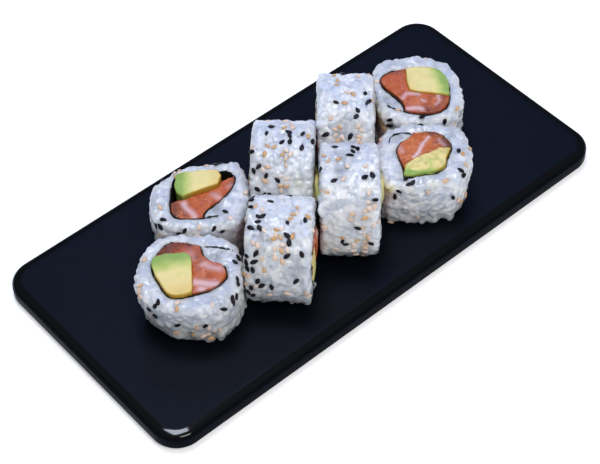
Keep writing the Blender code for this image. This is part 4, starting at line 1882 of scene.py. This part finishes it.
ROLLS = (
    Roll(
        "back_1", Pose.UPRIGHT, -40.5, skin=(180, 0.5, 6.5), number=1, rise=0.5, sink=-1.3, pink=0.2,
        fat=(
            Stroke((-9.5, -3), (-4.5, -11), 1.3, 0.75), Stroke((3, 1.5), (6.5, -1), 1.6, 0.5),
            Stroke((9, 6), (12, 8), 1.0, 0.3),
        ),
        dried=(
            Stroke((-13.5, -4.5), (-13.5, -10), 2.8, 0.8), Stroke((-10, -6), (-9, -9), 2.0, 0.4),
            Stroke((12.5, 8.5), (14, 4), 3.4, 0.8), Stroke((9, 0), (12, 3), 2.0, 0.4),
        ),
        blush=(Stroke((-10.5, -9.5), (-10.5, -9), 2.2, 0.8),),
        marks=(
            Mark(0.65, 0.45, 3, 0.5, wet_and_shade=0.4), Mark(0.2, 0.15, 2, 0.8), Mark(0.65, 0.05, 2, 0.6),
            Mark(0, 0.5, 2, 0.7), Mark(0.95, 0.2, 2, 0.6),
        ),
        seeds=(
            Pinch(0.06, 0.64, 4, 1), Pinch(0.35, 0.67, 2, 0, 0.03), Pinch(0.5, 0.65, 0, 2, 0.05),
            Pinch(0.7, 0.65, 2, 0, 0.04), Pinch(0.8, 0.5, 1, 1, 0.03), Pinch(0.25, 0.1, 0, 3, 0.03),
            Pinch(0.55, 0.02, 0, 1, 0.01), Pinch(0.1, 0.45, 0, 1, 0.02), Pinch(0.93, 0.3, 0, 1, 0.03),
        ),
    ),
    Roll(
        "back_2", Pose.LYING, -43, skin=(10, 1.0, 8.0), number=2, salmon_bulge=-0.4, avocado_bulge=1.4,
        fat=(Stroke((-6, -4), (6, 1), 1.2, 0.8),),
        marks=(
            Mark(0.75, 0.6, 3.5, 0.2, 0.2), Mark(0.3, 0.2, 2.5, 0.4, wet_and_shade=0.5), Mark(0.9, 0.1, 2, -0.6),
            Mark(0.15, 0.45, 4, 0.3, wet_and_shade=0.5), Mark(0.5, 0.35, 2.5, 0.3, wet_and_shade=0.5),
            Mark(0.98, 0.3, 1.4, -0.9), Mark(0.97, 0.5, 1.2, 0.8), Mark(0.98, 0.62, 1.5, -0.9),
            Mark(0.02, 0.15, 1.3, -0.8), Mark(0.02, 0.4, 1.5, 0.8), Mark(0.3, 0.02, 1.4, 0.7),
        ),
        seeds=(
            Pinch(0.3, 0.05, 2, 1, 0.05), Pinch(0.6, 0.07, 1, 4, 0.05), Pinch(0.85, 0.12, 1, 1, 0.03),
            Pinch(0.55, 0.15, 2, 0, 0.04), Pinch(0.45, 0.25, 1, 1, 0.05), Pinch(0.8, 0.25, 1, 0, 0.03),
            Pinch(0.95, 0.2, 1, 0, 0.02), Pinch(0.05, 0.3, 1, 1, 0.03), Pinch(0.2, 0.27, 0, 2, 0.05),
            Pinch(0.55, 0.31, 0, 4, 0.04), Pinch(0.1, 0.47, 2, 0, 0.03), Pinch(0.5, 0.42, 0, 1, 0.03),
            Pinch(0.28, 0.52, 0, 2, 0.05), Pinch(0.42, 0.56, 1, 0, 0.02), Pinch(0.2, 0.63, 4, 1, 0.06),
            Pinch(0.48, 0.62, 0, 5, 0.05),
        ),
    ),
    Roll(
        "back_3", Pose.LYING, -42, skin=(60, 1.0, 8.0), number=3,
        fat=(Stroke((-8, -6), (4, -8), 1.2, 0.8),),
        marks=(
            Mark(0.4, 0.6, 3, 0.5, wet_and_shade=0.4), Mark(0.1, 0.3, 2, 0.5), Mark(0.5, 0.2, 3, -0.4),
            Mark(0.5, 0.45, 3.5, wet_and_shade=0.5), Mark(0.02, 0.5, 1.5, -1.0), Mark(0.03, 0.2, 1.2, 0.8),
            Mark(0.97, 0.22, 1.3, 0.9), Mark(0.98, 0.45, 1.4, -0.8), Mark(0.7, 0.02, 1.5, -0.7),
        ),
        seeds=(
            Pinch(0.45, 0.02, 1, 0, 0.01), Pinch(0.35, 0.08, 0, 3, 0.05), Pinch(0.75, 0.03, 0, 1, 0.02),
            Pinch(0.85, 0.17, 1, 0, 0.02), Pinch(0.6, 0.17, 0, 2, 0.04), Pinch(0.35, 0.3, 1, 0, 0.02),
            Pinch(0.5, 0.3, 0, 1, 0.02), Pinch(0.7, 0.32, 1, 0, 0.02), Pinch(0.93, 0.3, 1, 1, 0.04),
            Pinch(0.7, 0.43, 1, 0, 0.02), Pinch(0.25, 0.45, 0, 1, 0.02), Pinch(0.7, 0.52, 0, 1, 0.02),
            Pinch(0.12, 0.56, 1, 0, 0.02), Pinch(0.36, 0.6, 0, 5, 0.05), Pinch(0.6, 0.63, 1, 0, 0.02),
            Pinch(0.78, 0.61, 0, 3, 0.05),
        ),
    ),
    Roll(
        "back_4", Pose.UPRIGHT, -40.5, skin=(15, 1.0, 7.0), number=4, pink=0.1, rise=0.3,
        fat=(
            Stroke((-5, -4.5), (-3, -1), 1.0, 0.6), Stroke((-3, -1), (2.5, -1.5), 1.0, 0.7),
            Stroke((11, -2.5), (11.5, -6), 0.8, 0.6), Stroke((11.5, -6), (10, -8), 0.8, 0.5),
            Stroke((-2.5, -10.5), (3, -11), 1.3, 0.8), Stroke((3.5, -5), (5, -6), 0.8, 0.7),
        ),
        dried=(
            Stroke((11, -11.5), (5, -11), 3.0, 0.6), Stroke((13, -4), (13, -8), 2.0, 0.5),
            Stroke((-12, 12), (-5, 14), 1.8, 0.6),
        ),
        blush=(Stroke((0, -6), (13, -6), 5.0, 0.5),),
        marks=(
            Mark(0.15, 0.4, 4, 0.9, wet_and_shade=0.3), Mark(0.25, 0.45, 2.5, 0.5), Mark(0.05, 0.1, 2, 1.0),
            Mark(0.3, 0.05, 1.6, 1.0), Mark(0.95, 0.2, 1.5, 0.8), Mark(0.85, 0.05, 2, -0.7),
        ),
        seeds=(
            Pinch(0.03, 0.2, 1, 1, 0.03), Pinch(0.93, 0.5, 0, 1, 0.02), Pinch(0.32, 0.52, 0, 1, 0.02),
            Pinch(0.53, 0.64, 2, 0, 0.03), Pinch(0.77, 0.65, 1, 0, 0.02), Pinch(0.2, 0.68, 2, 1, 0.04),
            Pinch(0.9, 0.65, 0, 1, 0.02),
        ),
    ),
    Roll(
        "front_1", Pose.UPRIGHT, -40.5, skin=(105, -1.5, 9.0), number=5, ragged=1.0, pink=0.1, rise=1.0,
        fat=(
            Stroke((4, -1), (11, -3.5), 1.7, 0.6), Stroke((0.5, -10.5), (9.5, -12), 1.8, 0.8),
            Stroke((3, -13.5), (4.5, -14), 1.6, 0.7), Stroke((-1.5, 5.5), (-1, 3), 2.2, 0.3),
        ),
        dried=(
            Stroke((-14.5, 5.5), (-8.5, 10), 4.2, 0.85), Stroke((-8.5, 10), (-2, 9.5), 2.6, 0.6),
            Stroke((2, 6), (3, 0), 1.6, 0.35),
        ),
        blush=(Stroke((4, 2), (2, -8), 4.0, 0.2),),
        marks=(
            Mark(0.7, 0.2, 3.2, 0.7, wet_and_shade=0.6), Mark(0.4, 0.95, 2.6, -1.3), Mark(0.58, 0.96, 2.8, -1.5),
            Mark(0.8, 0.93, 2.6, -1.4), Mark(0.5, 0.95, 1.6, 1.3), Mark(0.7, 0.95, 1.8, 1.2),
            Mark(0.2, 0.9, 2.5, -0.9), Mark(0.1, 0.8, 2.5, 1.0),
        ),
        seeds=(
            Pinch(0.92, 0.25, 3, 0, 0.05), Pinch(0.94, 0.42, 2, 0, 0.03), Pinch(0.23, 0.63, 2, 0, 0.03),
            Pinch(0.8, 0.68, 1, 0, 0.02), Pinch(0.9, 0.63, 3, 0, 0.03), Pinch(0.15, 0.74, 2, 1, 0.03),
            Pinch(0.42, 0.87, 1, 0, 0.02), Pinch(0.67, 0.88, 1, 0, 0.02), Pinch(0.07, 0.25, 0, 1, 0.02),
            Pinch(0.05, 0.55, 0, 3, 0.04), Pinch(0.4, 0.68, 0, 2, 0.03), Pinch(0.7, 0.65, 0, 1, 0.02),
            Pinch(0.7, 0.94, 0, 6, 0.05), Pinch(0.5, 0.95, 0, 2, 0.04), Pinch(0.35, 0.93, 0, 1, 0.02),
        ),
    ),
    Roll(
        "front_2", Pose.LYING, -45, skin=(250, 1.0, 8.0), number=6, ragged=0.8, salmon_bulge=1.0,
        avocado_bulge=0.4,
        fat=(Stroke((2, 8), (8, -6), 1.2, 0.8),),
        marks=(
            Mark(0.25, 0.4, 3.5, 0.2, wet_and_shade=0.5), Mark(0.75, 0.7, 4, wet_and_shade=0.5), Mark(0.95, 0.85, 1.3, -1.8),
            Mark(0.65, 0.65, 2.5, 0.4), Mark(0.5, 0.75, 2, 0.35), Mark(0.95, 0.75, 2, 0.8),
            Mark(0.05, 0.9, 3, 0.3, 0.12), Mark(0.9, 0.05, 2, -0.5), Mark(0.97, 0.15, 1.3, 0.9),
            Mark(0.98, 0.3, 1.3, -0.8), Mark(0.02, 0.3, 1.5, -0.9), Mark(0.02, 0.5, 1.4, 0.9),
            Mark(0.03, 0.7, 1.3, -0.8), Mark(0.3, 0.98, 1.6, -0.8),
        ),
        seeds=(
            Pinch(0.08, 0.03, 4, 0, 0.05), Pinch(0.63, 0.01, 1, 0, 0.01), Pinch(0.4, 0.05, 1, 0, 0.02),
            Pinch(0.2, 0.13, 0, 2, 0.04), Pinch(0.18, 0.23, 5, 0, 0.05), Pinch(0.7, 0.2, 0, 4, 0.05),
            Pinch(0.6, 0.25, 1, 0, 0.02), Pinch(0.85, 0.2, 1, 1, 0.03), Pinch(0.27, 0.3, 0, 1, 0.02),
            Pinch(0.03, 0.22, 0, 1, 0.02), Pinch(0.62, 0.4, 2, 1, 0.04), Pinch(0.5, 0.37, 0, 5, 0.05),
            Pinch(0.9, 0.38, 0, 1, 0.03), Pinch(0.14, 0.45, 0, 2, 0.03), Pinch(0.55, 0.5, 0, 3, 0.04),
            Pinch(0.8, 0.55, 1, 0, 0.02), Pinch(0.6, 0.56, 1, 0, 0.02), Pinch(0.33, 0.57, 0, 3, 0.06),
            Pinch(0.1, 0.63, 6, 0, 0.05), Pinch(0.5, 0.65, 0, 1, 0.02), Pinch(0.25, 0.68, 0, 1, 0.02),
            Pinch(0.7, 0.78, 1, 0, 0.02), Pinch(0.07, 0.75, 0, 2, 0.04), Pinch(0.2, 0.83, 2, 1, 0.03),
            Pinch(0.07, 0.88, 4, 1, 0.04), Pinch(0.35, 0.9, 1, 1, 0.03), Pinch(0.6, 0.93, 0, 1, 0.03),
            Pinch(0.85, 0.97, 0, 2, 0.03),
        ),
    ),
    Roll(
        "front_3", Pose.LYING, -41, skin=(150, 3.0, 9.0), number=7, ragged=0.8, salmon_bulge=-0.4,
        avocado_bulge=1.8,
        fat=(Stroke((-4, -6), (3, 7), 1.2, 0.8),),
        marks=(
            Mark(0.35, 0.25, 3.2, 0.9, wet_and_shade=0.7), Mark(0.3, 0.2, 2, 0.6),
            Mark(0.45, 0.4, 1.2, 0.7, wet_and_shade=0.5), Mark(0.4, 0.12, 5, wet_and_shade=0.4), Mark(0.05, 0.6, 2.6, -1.8),
            Mark(0.05, 0.8, 3.5, 1.1), Mark(0.3, 0.5, 3, -0.5), Mark(0.8, 0.9, 3, 0.2, 0.12),
            Mark(0.02, 0.5, 1.5, -1.2), Mark(0.97, 0.35, 1.3, -0.8), Mark(0.97, 0.6, 1.4, 0.9),
            Mark(0.98, 0.85, 1.4, -0.8), Mark(0.02, 0.15, 1.3, -0.7),
        ),
        seeds=(
            Pinch(0.26, 0.04, 1, 0, 0.01), Pinch(0.6, 0.05, 4, 1, 0.06), Pinch(0.1, 0.1, 0, 2, 0.04),
            Pinch(0.3, 0.14, 0, 1, 0.02), Pinch(0.77, 0.18, 0, 1, 0.02), Pinch(0.04, 0.24, 1, 0, 0.02),
            Pinch(0.44, 0.26, 0, 2, 0.04), Pinch(0.76, 0.31, 1, 0, 0.02), Pinch(0.9, 0.29, 1, 0, 0.02),
            Pinch(0.26, 0.37, 1, 0, 0.02), Pinch(0.04, 0.45, 0, 2, 0.05), Pinch(0.92, 0.52, 1, 0, 0.02),
            Pinch(0.83, 0.53, 0, 4, 0.05), Pinch(0.56, 0.62, 0, 1, 0.02), Pinch(0.75, 0.65, 0, 2, 0.04),
            Pinch(0.5, 0.7, 0, 1, 0.02), Pinch(0.63, 0.77, 1, 0, 0.02), Pinch(0.9, 0.74, 0, 2, 0.04),
            Pinch(0.08, 0.75, 0, 1, 0.02), Pinch(0.43, 0.9, 2, 1, 0.03), Pinch(0.85, 0.87, 1, 0, 0.02),
            Pinch(0.75, 0.83, 0, 5, 0.05), Pinch(0.65, 0.93, 0, 7, 0.07), Pinch(0.28, 0.96, 0, 1, 0.02),
        ),
    ),
    Roll(
        "front_4", Pose.UPRIGHT, -40.5, skin=(265, 2.5, 5.0), number=8, pink=0.6, mottle=0.7,
        fat=(
            Stroke((4.5, 7.5), (-2.5, -5.5), 0.75, 1.0), Stroke((9, 5.5), (11, 2.5), 0.9, 0.4),
            Stroke((-8.5, 1), (-7.5, -2), 1.2, 0.35),
        ),
        dried=(Stroke((11.5, 5.5), (13.5, -1), 3.0, 0.95), Stroke((5.5, 10), (9.5, 8.5), 2.4, 0.8)),
        marks=(
            Mark(0.25, 0.15, 2.5, 0.6, wet_and_shade=0.4), Mark(0.05, 0.15, 2.5, 0.7, wet_and_shade=0.3),
            Mark(0.25, 0.55, 1.4, 0.9), Mark(0.1, 0.65, 3, 0.2, 0.6), Mark(0.05, 0.8, 2.5, 0.2, 0.8),
            Mark(0.15, 0.65, 2, 0.0, 0.5), Mark(0.6, 0.6, 2.5, 0.0, 0.2), Mark(0.95, 0.8, 2, 0.8),
            Mark(0.95, 0.3, 1.5, 0.7),
        ),
        seeds=(
            Pinch(0.36, 0.62, 3, 0, 0.04), Pinch(0.2, 0.7, 2, 0, 0.03), Pinch(0.8, 0.74, 1, 0, 0.02),
            Pinch(0.92, 0.68, 1, 1, 0.02), Pinch(0.9, 0.48, 2, 0, 0.03), Pinch(0.93, 0.28, 1, 1, 0.04),
            Pinch(0.95, 0.4, 0, 1, 0.02), Pinch(0.75, 0.56, 0, 1, 0.02), Pinch(0.56, 0.7, 0, 1, 0.02),
            Pinch(0.9, 0.76, 0, 2, 0.03), Pinch(0.43, 0.96, 0, 1, 0.02), Pinch(0.15, 0.97, 0, 1, 0.02),
        ),
    ),
)


def main() -> None:
    """Build the plate, the rolls, the seeds and the studio."""
    logging.basicConfig(level=logging.INFO, format="%(name)s: %(message)s")
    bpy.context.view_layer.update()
    view = Viewpoint()
    view.place()
    face = StonewareGlaze("satin_black_glaze", "070a13", "0c111c", (0.4, 0.55), 0.08)
    lip = StonewareGlaze("glossy_black_glaze", "030406", "06080c", (0.08, 0.1), 0.5, index=1.42,
                         peel_depth=0.003 * MM)
    wall = StonewareGlaze("pooled_black_glaze", "080a12", "0e111c", (0.22, 0.32), 0.5, index=1.06)
    SushiPlate().build(*(glaze.material() for glaze in (face, lip, wall)))
    rice, nori, salmon, avocado = (
        finish.material() for finish in (CookedRice(), ToastedNori(), RawSalmon(), RipeAvocado())
    )
    bedding = grain_tree()
    table = Table(ROLLS, view)
    for roll in ROLLS:
        table.rice[roll.name] = tree_of(RiceBed(roll, view).build(bedding, rice))
        table.taken[roll.name] = []
        NoriSheet(roll).build(nori)
        SalmonStrip(roll, "salmon", "flesh", proud=roll.sink * MM).build(salmon)
        AvocadoSlice(roll, "avocado", "slice", soften=1, proud=roll.rise * MM).build(avocado)
    sowing = sowing_tree()
    black = SesameHull("black_sesame_hull", "090b13", "241820", "06070b", 0.4, 0.25)
    toasted = SesameHull("toasted_sesame_hull", "fae2d0", "d9a566", "a87a40", 0.4, 0.5)
    SesameSprinkle(Sesame.BLACK, table, 3).build(sowing, black.material())
    SesameSprinkle(Sesame.TOASTED, table, 8, length=3.3 * MM, width=1.95 * MM).build(
        sowing, toasted.material()
    )
    Studio().build()


if __name__ == "__main__":
    main()
